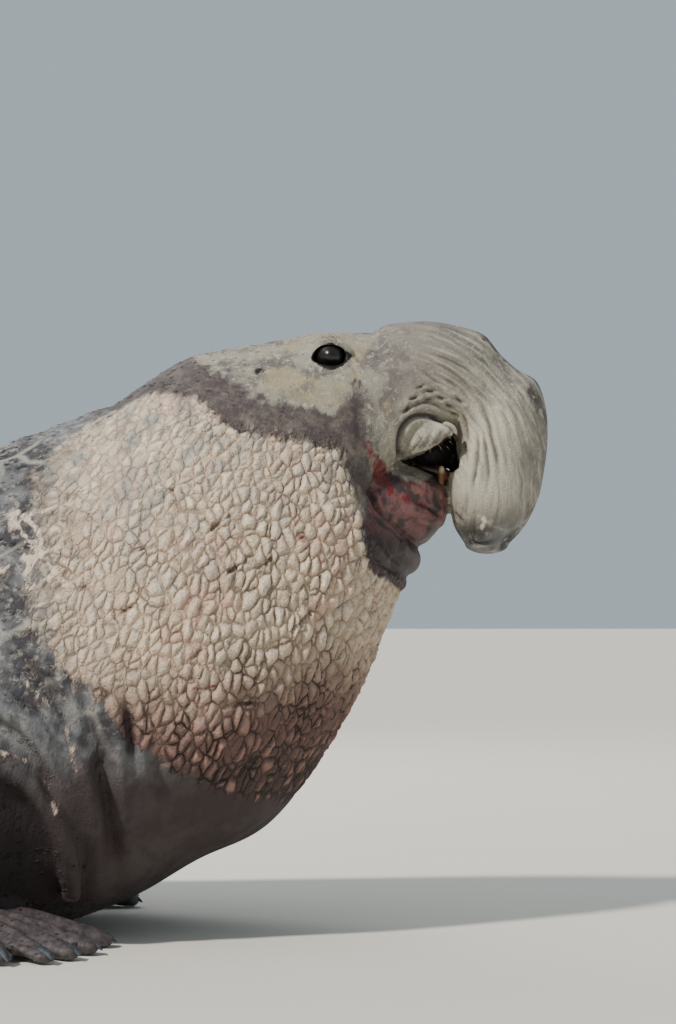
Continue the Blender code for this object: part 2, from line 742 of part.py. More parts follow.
def build_fore_flipper(flank):
    """The right fore limb: arm, palm, five digits and their claws, cut to the flank."""
    arm = tube("arm", ARM, ARM_HALF_WIDTHS, ARM_HALF_HEIGHTS, (1, -0.25, 0), sides=16)
    pieces = [arm]
    tips = [Vector((x, y, FORE_TIP_HEIGHT)) for x, y in FORE_DIGIT_TIPS]
    for number, (tip, radius) in enumerate(zip(tips, FORE_DIGIT_RADII), 1):
        root = WRIST + Vector((0, 0, -0.012))
        knuckle = root.lerp(tip, 0.5) + Vector((0, 0, 0.014))
        widths = (radius * 1.6, radius * 1.3, radius * 0.9)
        heights = (radius * 1.4, radius * 1.0, radius * FORE_TIP_SHARE)
        across = (tip - root).cross(Vector((0, 0, 1))).normalized()
        path = [root, knuckle, tip]
        pieces.append(tube(f"digit_{number}", path, widths, heights, across, steps=2))
        toward = (tip - knuckle).normalized()
        base = tip + Vector((0, 0, FORE_TIP_SHARE * radius * 0.6))
        pieces.append(claw(f"claw_{number}", base, toward, FORE_CLAW_LENGTH, FORE_CLAW_RADIUS, 0.012))
    pieces.append(web("palm", WRIST, tips, FORE_WEB_REACH, 0.045, 0.014))
    flipper = fuse("fore_flipper_right", pieces)
    trim_to(flipper, flank)
    return set_on_floor(flipper)


def web(name, root, tips, reach, root_thickness, edge_thickness):
    """The fan of skin between digits, as a closed wedge with a scalloped edge."""
    fan = []
    for a, b in zip(tips, tips[1:]):
        fan.append(a)
        fan.append(root + ((a + b) / 2 - root) * 0.93)
    fan.append(tips[-1])
    edge = [root + (p - root) * reach for p in fan]
    normal = (tips[0] - root).cross(tips[-1] - root).normalized()
    normal = normal if normal.z > 0 else -normal
    shape = bmesh.new()
    rows = []
    middle_thickness = (root_thickness + edge_thickness) / 2
    for share, half in ((0.0, root_thickness), (0.5, middle_thickness), (1.0, edge_thickness)):
        top, bottom = [], []
        for point in edge:
            place = root.lerp(point, max(share, 0.12)) + normal * 0.006 * math.sin(share * math.pi)
            top.append(shape.verts.new(place + normal * half))
            bottom.append(shape.verts.new(place - normal * half))
        rows.append((top, bottom))
    for (top, bottom), (next_top, next_bottom) in zip(rows, rows[1:]):
        for k in range(len(edge) - 1):
            shape.faces.new((top[k], top[k + 1], next_top[k]))
            shape.faces.new((top[k + 1], next_top[k + 1], next_top[k]))
            shape.faces.new((bottom[k], next_bottom[k], bottom[k + 1]))
            shape.faces.new((bottom[k + 1], next_bottom[k], next_bottom[k + 1]))
        for k in (0, -1):
            shape.faces.new((top[k], next_top[k], next_bottom[k], bottom[k]))
    for top, bottom in (rows[0], rows[-1]):
        for k in range(len(edge) - 1):
            shape.faces.new((top[k], top[k + 1], bottom[k + 1], bottom[k]))
    return link_mesh(name, shape)


def build_hind_flipper(hips):
    """The right hind flipper: ankle, five digits and the web between them, cut to the hips."""
    start = ANKLE - HIND_AXIS * 0.16
    ankle = tube(
        "ankle",
        [start, ANKLE, ANKLE + HIND_AXIS * 0.12],
        (0.075, 0.068, 0.060),
        (0.070, 0.052, 0.034),
        HIND_SPREAD,
        sides=14,
    )
    pieces = [ankle]
    tips = []
    for number, (length, angle, radius) in enumerate(
        zip(HIND_DIGIT_LENGTHS, HIND_DIGIT_ANGLES, HIND_DIGIT_RADII), 1
    ):
        ahead = HIND_AXIS * math.cos(angle) + HIND_SPREAD * math.sin(angle)
        tip = ANKLE + ahead * length
        tip.z = max(tip.z, 0.008)
        tips.append(tip)
        knuckle = ANKLE.lerp(tip, 0.5)
        sizes = (radius * 1.3, radius, radius * 0.5)
        flat = (radius, radius * 0.7, radius * 0.35)
        path = [ANKLE, knuckle, tip]
        pieces.append(tube(f"hind_digit_{number}", path, sizes, flat, HIND_SPREAD, sides=8, steps=2))
    pieces.append(web("hind_web", ANKLE, tips, 0.95, 0.020, 0.0055))
    flipper = fuse("hind_flipper_right", pieces)
    trim_to(flipper, hips)
    return set_on_floor(flipper)


def build_trunk():
    """The trunk's five lengths, from the hips to the neck, flat where they rest."""
    hips = trunk_piece("hips", TAIL_END, HIPS_FRONT, 2, dome=(-RUMP_DOME, 0, -0.01))
    loins = trunk_piece("loins", HIPS_FRONT, LOINS_FRONT, 4)
    back = trunk_piece("mid_trunk", LOINS_FRONT, BACK_FRONT, 5)
    shoulders = trunk_piece("shoulders", BACK_FRONT, SHIELD_REAR, 6)
    folds = []
    for number, points in enumerate(ARM_FOLDS, 1):
        count = len(points)
        swell = [math.sin(math.pi * (k + 0.5) / count) for k in range(count)]
        sizes = [ARM_FOLD_RADIUS * (0.45 + 0.55 * share) for share in swell]
        fold = tube(f"arm_fold_{number}", points, sizes, sizes, (0, 0, 1), sides=8, steps=2)
        folds += both_sides(fold)
    shoulders = fuse("shoulders", [shoulders, *folds])
    neck = skin_grid("neck_shield", shield_grid())
    trim_to(shoulders, [neck])
    for piece in (hips, loins, back, shoulders):
        set_on_floor(piece)
    return hips, loins, back, shoulders, neck


def main():
    """Builds every node and gives it its material."""
    clear_scene()
    hips, loins, back, shoulders, neck = build_trunk()
    head = build_head()
    mouth = build_mouth(head["lower_jaw"], head["proboscis"])
    eyes = build_eyes()
    fore_right = build_fore_flipper([shoulders, neck])
    fore_left = mirrored(fore_right, "fore_flipper_left")
    tail = tube("tail", TAIL_POINTS, TAIL_HALF_WIDTHS, TAIL_HALF_HEIGHTS, (0, 1, 0), sides=10, steps=3)
    trim_to(tail, [hips])
    hind_right = build_hind_flipper([hips, tail])
    hind_left = mirrored(hind_right, "hind_flipper_left")
    hide = (0.20, 0.17, 0.15)
    for piece in (hips, loins, back, shoulders, tail, fore_right, fore_left, hind_right, hind_left):
        finish(piece, hide, 0.75)
    finish(neck, (0.52, 0.42, 0.33), 0.85)
    finish(head["head"], (0.42, 0.37, 0.30), 0.75)
    finish(head["proboscis"], (0.40, 0.37, 0.33), 0.75)
    finish(head["lower_jaw"], (0.26, 0.15, 0.13), 0.60)
    finish(mouth[0], (0.55, 0.25, 0.18), 0.40)
    for tooth in mouth[1:]:
        finish(tooth, (0.85, 0.80, 0.65), 0.35)
    for eye in eyes:
        finish(eye, (0.01, 0.01, 0.015), 0.08)


if __name__ == "__main__":
    main()
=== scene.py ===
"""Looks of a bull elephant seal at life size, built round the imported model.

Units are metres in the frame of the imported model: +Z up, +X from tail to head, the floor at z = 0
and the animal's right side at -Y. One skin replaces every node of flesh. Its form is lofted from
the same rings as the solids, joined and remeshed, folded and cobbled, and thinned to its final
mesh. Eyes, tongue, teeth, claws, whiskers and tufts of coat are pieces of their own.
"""

import logging
import math
from dataclasses import dataclass
from enum import Enum
from typing import Any, Iterable, Sequence

import bmesh
import bpy
import numpy as np
from mathutils import Matrix, Vector


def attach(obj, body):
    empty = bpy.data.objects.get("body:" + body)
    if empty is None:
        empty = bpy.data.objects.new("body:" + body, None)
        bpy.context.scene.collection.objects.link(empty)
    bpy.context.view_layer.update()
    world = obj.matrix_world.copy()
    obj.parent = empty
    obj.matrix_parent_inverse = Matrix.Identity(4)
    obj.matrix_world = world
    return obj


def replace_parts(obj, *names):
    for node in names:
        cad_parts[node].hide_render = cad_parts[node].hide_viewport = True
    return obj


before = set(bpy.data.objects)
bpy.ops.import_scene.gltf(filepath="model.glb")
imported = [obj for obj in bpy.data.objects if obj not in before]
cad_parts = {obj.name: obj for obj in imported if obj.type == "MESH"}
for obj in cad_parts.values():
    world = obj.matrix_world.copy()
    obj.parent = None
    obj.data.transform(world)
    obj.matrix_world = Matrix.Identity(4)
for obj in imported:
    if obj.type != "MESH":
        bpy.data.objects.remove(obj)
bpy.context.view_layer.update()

logging.basicConfig(level=logging.INFO, format="%(message)s")
log = logging.getLogger("elephant_seal")

BODY = "root"

Point = tuple[float, float, float]
SidePoint = tuple[float, float]
Array = np.ndarray
Piece = bpy.types.Object
Mesh = bpy.types.Mesh
Material = bpy.types.Material
Tree = bpy.types.NodeTree


# Shader and geometry expressions


class Signal:
    """A socket of a node tree that Python's operators work on."""

    def __init__(self, net: "Net", socket: bpy.types.NodeSocket) -> None:
        """Wraps an output socket of the net's tree."""
        self.net = net
        self.socket = socket

    @property
    def is_vector(self) -> bool:
        """Whether the socket carries a vector or a colour."""
        return self.socket.type in ("VECTOR", "RGBA")

    def _binary(self, operation: str, other: Any, swapped: bool = False) -> "Signal":
        """One Math or Vector Math node.

        Args:
            operation: the node's operation.
            other: the second operand, a signal, a number or a tuple.
            swapped: whether other comes first.

        Returns:
            The node's result.
        """
        pair = [other, self] if swapped else [self, other]
        wide = [isinstance(v, tuple) or (isinstance(v, Signal) and v.is_vector) for v in pair]
        if not any(wide):
            return self.net.add("ShaderNodeMath", {"operation": operation}, {0: pair[0], 1: pair[1]})
        if operation == "MULTIPLY" and not all(wide):
            vector, number = (pair[0], pair[1]) if wide[0] else (pair[1], pair[0])
            inputs = {"Vector": vector, "Scale": number}
            return self.net.add("ShaderNodeVectorMath", {"operation": "SCALE"}, inputs)
        pair = [v if w else self.net.vector(v, v, v) for v, w in zip(pair, wide)]
        return self.net.add("ShaderNodeVectorMath", {"operation": operation}, {0: pair[0], 1: pair[1]})

    def __add__(self, other: Any) -> "Signal":
        """Sum."""
        return self._binary("ADD", other)

    def __radd__(self, other: Any) -> "Signal":
        """Sum, reflected."""
        return self._binary("ADD", other, True)

    def __sub__(self, other: Any) -> "Signal":
        """Difference."""
        return self._binary("SUBTRACT", other)

    def __rsub__(self, other: Any) -> "Signal":
        """Difference, reflected."""
        return self._binary("SUBTRACT", other, True)

    def __mul__(self, other: Any) -> "Signal":
        """Product."""
        return self._binary("MULTIPLY", other)

    def __rmul__(self, other: Any) -> "Signal":
        """Product, reflected."""
        return self._binary("MULTIPLY", other, True)

    def __pow__(self, other: Any) -> "Signal":
        """Power."""
        return self._binary("POWER", other)

    def at_least(self, other: Any) -> "Signal":
        """The larger of the two."""
        return self._binary("MAXIMUM", other)

    def at_most(self, other: Any) -> "Signal":
        """The smaller of the two."""
        return self._binary("MINIMUM", other)

    def absolute(self) -> "Signal":
        """The value without its sign."""
        return self.net.add("ShaderNodeMath", {"operation": "ABSOLUTE"}, {0: self})

    def step(self, low: float, high: float) -> "Signal":
        """A smooth step from 0 at low to 1 at high.

        Args:
            low: the value where the step starts.
            high: the value where it ends.

        Returns:
            The step, 0 to 1.
        """
        inputs = {"Value": self, "From Min": low, "From Max": high, "To Min": 0.0, "To Max": 1.0}
        settings = {"interpolation_type": "SMOOTHSTEP", "clamp": True}
        return self.net.add("ShaderNodeMapRange", settings, inputs)


class Net:
    """A shader or geometry node tree that expressions add their nodes to."""

    def __init__(self, tree: Tree) -> None:
        """Works on the given tree."""
        self.tree = tree

    def node(self, kind: str, settings: dict[str, Any], inputs: dict[Any, Any]) -> bpy.types.Node:
        """Adds one node.

        Args:
            kind: the node's type.
            settings: properties of the node, set first.
            inputs: values or signals for its sockets, by name or number.

        Returns:
            The node.
        """
        made = self.tree.nodes.new(kind)
        for name, value in settings.items():
            setattr(made, name, value)
        for key, value in inputs.items():
            socket = self._input(made, key)
            if isinstance(value, Signal):
                self.tree.links.new(value.socket, socket)
            elif socket.type == "RGBA" and len(value) == 3:
                socket.default_value = (*value, 1.0)
            else:
                socket.default_value = value
        return made

    @staticmethod
    def _input(node: bpy.types.Node, key: Any) -> bpy.types.NodeSocket:
        """The enabled input socket of that name, or the socket of that number.

        Args:
            node: the node.
            key: name or number of the socket.

        Returns:
            The socket.
        """
        if isinstance(key, int):
            return node.inputs[key]
        return next(s for s in node.inputs if s.name == key and s.enabled)

    def add(
        self,
        kind: str,
        settings: dict[str, Any] | None = None,
        inputs: dict[Any, Any] | None = None,
        output: str | None = None,
    ) -> Signal:
        """Adds one node and wraps one of its outputs, the first enabled one unless it is named.

        Args:
            kind: the node's type.
            settings: properties of the node.
            inputs: signals or values by socket.
            output: name of the output, if not the first.

        Returns:
            The output.
        """
        made = self.node(kind, settings or {}, inputs or {})
        found = (s for s in made.outputs if s.enabled and (output is None or s.name == output))
        return Signal(self, next(found))

    def vector(self, x: Any, y: Any, z: Any) -> Signal:
        """A vector from three numbers or signals."""
        return self.add("ShaderNodeCombineXYZ", {}, {0: x, 1: y, 2: z})

    def parts(self, vector: Signal) -> tuple[Signal, Signal, Signal]:
        """The three numbers of a vector."""
        made = self.node("ShaderNodeSeparateXYZ", {}, {0: vector})
        return tuple(Signal(self, socket) for socket in made.outputs)

    def dot(self, a: Signal, b: Point) -> Signal:
        """Dot product."""
        return self.add("ShaderNodeVectorMath", {"operation": "DOT_PRODUCT"}, {0: a, 1: b}, "Value")

    def mix(self, share: Any, low: Any, high: Any) -> Signal:
        """Colour mix from low at 0 to high at 1."""
        settings = {"data_type": "RGBA", "blend_type": "MIX", "clamp_factor": True}
        return self.add("ShaderNodeMix", settings, {"Factor": share, "A": low, "B": high}, "Result")

    def tint(self, share: Any, low: Any, high: Any) -> Signal:
        """Colour multiplied by another, as far as share says."""
        settings = {"data_type": "RGBA", "blend_type": "MULTIPLY", "clamp_factor": True}
        return self.add("ShaderNodeMix", settings, {"Factor": share, "A": low, "B": high}, "Result")

    def noise(self, place: Signal, size: float, detail: float = 2.0, rough: float = 0.5) -> Signal:
        """Soft noise from 0 to 1 with grains of about the size given in metres."""
        inputs = {"Vector": place, "Scale": 1.0 / size, "Detail": detail, "Roughness": rough}
        return self.add("ShaderNodeTexNoise", {"noise_dimensions": "3D"}, inputs)

    def warped(self, place: Signal, size: float, reach: float) -> Signal:
        """The place shifted by up to about reach, by noise with grains of the size given.

        Args:
            place: the place to shift, in metres.
            size: size of the noise's grains.
            reach: about how far the place moves.

        Returns:
            The shifted place.
        """
        inputs = {"Vector": place, "Scale": 1.0 / size, "Detail": 1.0}
        colour = self.add("ShaderNodeTexNoise", {"noise_dimensions": "3D"}, inputs, "Color")
        return place + (colour - (0.5, 0.5, 0.5)) * (2.0 * reach)

    def cells(self, place: Signal, feature: str, output: str) -> Signal:
        """A 3-D Voronoi pattern of unit cells."""
        settings = {"voronoi_dimensions": "3D", "feature": feature}
        return self.add("ShaderNodeTexVoronoi", settings, {"Vector": place, "Scale": 1.0}, output)

    def stored(self, name: str, output: str = "Fac") -> Signal:
        """A value that the mesh carries for the shader, a number or a vector."""
        return self.add("ShaderNodeAttribute", {"attribute_name": name}, {}, output)

    def own_place(self) -> Signal:
        """The place in the object's own frame."""
        return self.add("ShaderNodeTexCoord", {}, {}, "Object")

    def draw(self, low: float, high: float, seed: int) -> Signal:
        """A random number between two others, for each point of a geometry tree."""
        inputs = {"Min": low, "Max": high, "Seed": seed}
        return self.add("FunctionNodeRandomValue", {"data_type": "FLOAT"}, inputs)


@dataclass(frozen=True)
class Grain:
    """A frame of three directions with a cell length along each, for patterns that run one way."""

    long_way: Point
    cross_way: Point
    sizes: Point

    def place(self, net: Net, place: Signal) -> Signal:
        """The place measured in cells of this grain.

        Args:
            net: the net that the nodes go to.
            place: the place on the hide, in metres.

        Returns:
            The place in cells.
        """
        along = Vector(self.long_way).normalized()
        across = Vector(self.cross_way)
        across = (across - along * across.dot(along)).normalized()
        third = along.cross(across)
        rows = [tuple(v / s) for v, s in zip((along, across, third), self.sizes)]
        return net.vector(*(net.dot(place, row) for row in rows))


@dataclass(frozen=True)
class Cobbles:
    """The cobbled relief of the shield: one rule for its shape and for its colour."""

    coarse: Grain = Grain((0.30, 0.0, 0.95), (1.0, 0.0, 0.0), (0.034, 0.0195, 0.026))
    fine: Grain = Grain((0.45, 0.0, 0.90), (1.0, 0.0, 0.0), (0.013, 0.009, 0.011))
    warp_size: float = 0.085
    warp_reach: float = 0.012
    wobble_size: float = 0.016
    wobble_reach: float = 0.0035
    dome: float = 0.42

    def coarse_cells(self, net: Net, place: Signal) -> Signal:
        """The place in coarse cobbles, bent so that their rows wander.

        Args:
            net: the net that the nodes go to.
            place: the place on the hide, in metres.

        Returns:
            The pattern.
        """
        bent = net.warped(place, self.warp_size, self.warp_reach)
        bent = net.warped(bent, self.wobble_size, self.wobble_reach)
        return self.coarse.place(net, bent)

    def height(self, net: Net, place: Signal) -> Signal:
        """Height of the domed cobbles, 0 in the gaps and up to 1 on their tops.

        Args:
            net: the net that the nodes go to.
            place: the place on the hide, in metres.

        Returns:
            The height, 0 to 1.
        """
        cells = self.coarse_cells(net, place)
        edge = net.cells(cells, "DISTANCE_TO_EDGE", "Distance")
        size = net.parts(net.cells(cells, "F1", "Color"))[0]
        rise = (edge * (1.0 / self.dome)).at_most(1.0)
        return rise * (2.0 - rise) * (0.60 + size * 0.40)

    def fine_height(self, net: Net, place: Signal) -> Signal:
        """Height of the small wrinkles and pebbles between and on the cobbles."""
        cells = self.fine.place(net, net.warped(place, 0.03, 0.006))
        return net.cells(cells, "DISTANCE_TO_EDGE", "Distance").step(0.0, 0.30)


# Mesh building


@dataclass(frozen=True)
class Ring:
    """An oval cross-section, given in the side view and symmetric across the body.

    crown and keel are its highest and lowest points as (x, z). sag drops the widest level below
    the middle, as a share of the half height, and square is the exponent of the oval.
    """

    crown: SidePoint
    keel: SidePoint
    half_width: float
    sag: float = 0.10
    square: float = 2.2

    def values(self) -> tuple[float, ...]:
        """The ring's numbers in one row, for interpolation."""
        return (*self.crown, *self.keel, self.half_width, self.sag, self.square)


def spline(rows: Any, t: Any) -> Array:
    """Rows of numbers read at the positions t, on a Catmull-Rom curve through all of them.

    Args:
        rows: rows of numbers, one for each knot.
        t: positions, counted in knots.

    Returns:
        One row for each position.
    """
    rows = np.asarray(rows, float)
    last = len(rows) - 1
    t = np.clip(np.asarray(t, float), 0, last)
    i = np.minimum(t.astype(int), last - 1)
    f = (t - i)[:, None]
    before, here = rows[np.maximum(i - 1, 0)], rows[i]
    after, beyond = rows[i + 1], rows[np.minimum(i + 2, last)]
    slope_here, slope_after = (after - before) / 2, (beyond - here) / 2
    return (
        here * (2 * f**3 - 3 * f**2 + 1)
        + slope_here * (f**3 - 2 * f**2 + f)
        + after * (3 * f**2 - 2 * f**3)
        + slope_after * (f**3 - f**2)
    )


def link_mesh(name: str, mesh: Mesh) -> Piece:
    """A new object of the scene that holds the mesh.

    Args:
        name: name of the object.
        mesh: the mesh.

    Returns:
        The object.
    """
    made = bpy.data.objects.new(name, mesh)
    bpy.context.scene.collection.objects.link(made)
    return made


def link_shape(name: str, shape: bmesh.types.BMesh) -> Piece:
    """A new object that holds the bmesh, with its faces turned outward. The bmesh is freed.

    Args:
        name: name of the object.
        shape: the bmesh, which is freed.

    Returns:
        The object.
    """
    bmesh.ops.recalc_face_normals(shape, faces=shape.faces)
    if shape.calc_volume(signed=True) < 0:
        bmesh.ops.reverse_faces(shape, faces=shape.faces)
    mesh = bpy.data.meshes.new(name)
    shape.to_mesh(mesh)
    shape.free()
    return link_mesh(name, mesh)


def ring_grid(rings: Sequence[Ring], t: Array, sides: int) -> Array:
    """Points of an oval loft.

    Args:
        rings: the loft's rings in order.
        t: places along the rings, in rings.
        sides: points round each ring.

    Returns:
        An array of len(t) by sides by 3.
    """
    values = spline([ring.values() for ring in rings], t)
    crown, keel = values[:, 0:2], values[:, 2:4]
    width, sag, square = (values[:, k][:, None] for k in (4, 5, 6))
    angle = np.linspace(0, 2 * np.pi, sides, endpoint=False)[None, :]
    power = 2 / square
    across = np.sign(np.sin(angle)) * np.abs(np.sin(angle)) ** power
    level = np.sign(np.cos(angle)) * np.abs(np.cos(angle)) ** power
    level = level - sag * across**2
    middle, half = (crown + keel) / 2, (crown - keel) / 2
    x = middle[:, 0:1] + half[:, 0:1] * level
    z = middle[:, 1:2] + half[:, 1:2] * level
    return np.stack([x, -width * across, z], axis=2)


def domed(grid: Array, toward: Point, steps: int = 10) -> tuple[Array, Array]:
    """The grid with its last ring rounded off over the offset toward, and the dome's tip.

    Args:
        grid: rings of points.
        toward: offset of the tip from the middle of the last ring.
        steps: rings in the dome, its tip included.

    Returns:
        The longer grid and the tip.
    """
    end = grid[-1]
    centre = end.mean(axis=0)
    turns = np.linspace(0, math.pi / 2, steps + 1)[1:-1]
    rings = [centre + (end - centre) * math.cos(a) + np.asarray(toward) * math.sin(a) for a in turns]
    return np.concatenate([grid, np.array(rings)], axis=0), centre + np.asarray(toward)


def skin_grid(name: str, grid: Array, tip: Array | None = None) -> Piece:
    """A closed object over rings of points, with flat ends or with a last point tip.

    Args:
        name: name of the object.
        grid: rings of points.
        tip: last point, or None for a flat end.

    Returns:
        The object.
    """
    shape = bmesh.new()
    rows = [[shape.verts.new(point) for point in ring] for ring in grid]
    sides = len(rows[0])
    for low, high in zip(rows, rows[1:]):
        for k in range(sides):
            n = (k + 1) % sides
            shape.faces.new((low[k], low[n], high[n], high[k]))
    shape.faces.new(rows[0])
    if tip is None:
        shape.faces.new(rows[-1])
    else:
        point = shape.verts.new(tip)
        for k in range(sides):
            shape.faces.new((rows[-1][k], rows[-1][(k + 1) % sides], point))
    return link_shape(name, shape)


def oval_loft(name: str, rings: Sequence[Ring], sides: int, steps: int, dome: Point | None = None) -> Piece:
    """A closed loft through rings, with an optional domed end.

    Args:
        name: name of the object.
        rings: the loft's rings in order.
        sides: points round each section.
        steps: sections between one ring and the next.
        dome: offset of the domed end's tip, or None for a flat end.

    Returns:
        The object.
    """
    t = np.linspace(0, len(rings) - 1, (len(rings) - 1) * steps + 1)
    grid = ring_grid(rings, t, sides)
    if dome is None:
        return skin_grid(name, grid)
    return skin_grid(name, *domed(grid, dome))


def tube(
    name: str,
    points: Sequence[Any],
    half_widths: Sequence[float],
    half_heights: Sequence[float],
    flat: Point,
    sides: int = 28,
    steps: int = 8,
) -> Piece:
    """A closed tube of oval section along points, with a domed far end.

    Args:
        name: name of the object.
        points: the path's points.
        half_widths: half width of the section at each point, along flat.
        half_heights: half height of the section at each point.
        flat: the direction that the width runs in.
        sides: points round each section.
        steps: sections between one point and the next.

    Returns:
        The tube.
    """
    t = np.linspace(0, len(points) - 1, (len(points) - 1) * steps + 1)
    path = spline([tuple(p) for p in points], t)
    sizes = spline(np.column_stack([half_widths, half_heights]), t)
    along = np.gradient(path, axis=0)
    along /= np.linalg.norm(along, axis=1)[:, None]
    side = np.asarray(flat)[None, :] - along * (along @ np.asarray(flat))[:, None]
    side /= np.linalg.norm(side, axis=1)[:, None]
    up = np.cross(along, side)
    angle = np.linspace(0, 2 * np.pi, sides, endpoint=False)
    grid = (
        path[:, None, :]
        + side[:, None, :] * (np.cos(angle)[None, :] * sizes[:, 0:1])[:, :, None]
        + up[:, None, :] * (np.sin(angle)[None, :] * sizes[:, 1:2])[:, :, None]
    )
    return skin_grid(name, *domed(grid, tuple(along[-1] * sizes[-1].min()), 5))


SPHERE_SIDES = 48


def ellipsoid(name: str, centre: Any, sizes: Point, turn: Matrix | None = None) -> Piece:
    """A closed ellipsoid with the half sizes given, turned by the matrix turn.

    Args:
        name: name of the object.
        centre: middle of the ellipsoid.
        sizes: half sizes along the axes.
        turn: rotation, if any.

    Returns:
        The object.
    """
    shape = bmesh.new()
    place = Matrix.Translation(centre) @ (turn or Matrix()) @ Matrix.Diagonal((*sizes, 1))
    rows = SPHERE_SIDES // 2
    bmesh.ops.create_uvsphere(shape, u_segments=SPHERE_SIDES, v_segments=rows, radius=1, matrix=place)
    return link_shape(name, shape)


def box(name: str, low: Point, high: Point) -> Piece:
    """A closed box between two corners.

    Args:
        name: name of the object.
        low: the corner with the least x, y and z.
        high: the opposite corner.

    Returns:
        The object.
    """
    shape = bmesh.new()
    middle, size = (Vector(low) + Vector(high)) / 2, Vector(high) - Vector(low)
    bmesh.ops.create_cube(shape, size=1, matrix=Matrix.Translation(middle) @ Matrix.Diagonal((*size, 1)))
    return link_shape(name, shape)


def prism(name: str, outline: Sequence[SidePoint], low: float, high: float) -> Piece:
    """A closed prism across the body from y = low to y = high, over an outline in the side view.

    Args:
        name: name of the object.
        outline: corners as (x, z).
        low: least y.
        high: greatest y.

    Returns:
        The object.
    """
    shape = bmesh.new()
    left, right = ([shape.verts.new((x, y, z)) for x, z in outline] for y in (high, low))
    for side in (left, right):
        shape.faces.new(side)
    for k in range(len(outline)):
        n = (k + 1) % len(outline)
        shape.faces.new((left[k], left[n], right[n], right[k]))
    return link_shape(name, shape)


def mirrored(piece: Piece, name: str) -> Piece:
    """A copy of the piece on the animal's left side.

    Args:
        piece: the piece.
        name: name of the object.

    Returns:
        The copy.
    """
    shape = bmesh.new()
    shape.from_mesh(piece.data)
    bmesh.ops.scale(shape, vec=(1, -1, 1), verts=shape.verts)
    bmesh.ops.reverse_faces(shape, faces=shape.faces)
    return link_shape(name, shape)


def both_sides(piece: Piece) -> list[Piece]:
    """The piece and its copy on the other side."""
    return [piece, mirrored(piece, piece.name + "_far")]


def plain_copy(item: Piece) -> Mesh:
    """The object's mesh with its modifiers applied. The modifiers are removed from the object.

    Args:
        item: the object.

    Returns:
        The mesh.
    """
    graph = bpy.context.evaluated_depsgraph_get()
    mesh = bpy.data.meshes.new_from_object(item.evaluated_get(graph), depsgraph=graph)
    item.modifiers.clear()
    return mesh


def boolean(base: Piece, others: Iterable[Piece], operation: str) -> Piece:
    """Applies one Boolean of all the other objects to base, and removes them.

    Args:
        base: the object to change.
        others: the operands, which are removed.
        operation: UNION or DIFFERENCE.

    Returns:
        The changed object.
    """
    others = list(others)
    group = bpy.data.collections.new("operands")
    bpy.context.scene.collection.children.link(group)
    for other in others:
        group.objects.link(other)
    modifier = base.modifiers.new("boolean", "BOOLEAN")
    modifier.operation = operation
    modifier.solver = "MANIFOLD"
    modifier.operand_type = "COLLECTION"
    modifier.collection = group
    base.data = plain_copy(base)
    for other in others:
        bpy.data.objects.remove(other, do_unlink=True)
    bpy.data.collections.remove(group)
    return base


def grown(item: Piece, by: float) -> Piece:
    """A copy of the object, larger by a set distance all over.

    Args:
        item: the object.
        by: the distance.

    Returns:
        The copy.
    """
    copy = link_mesh(item.name + "_grown", item.data.copy())
    modifier = copy.modifiers.new("grow", "DISPLACE")
    modifier.strength = by
    modifier.mid_level = 0
    copy.data = plain_copy(copy)
    return copy


# The forms of the body


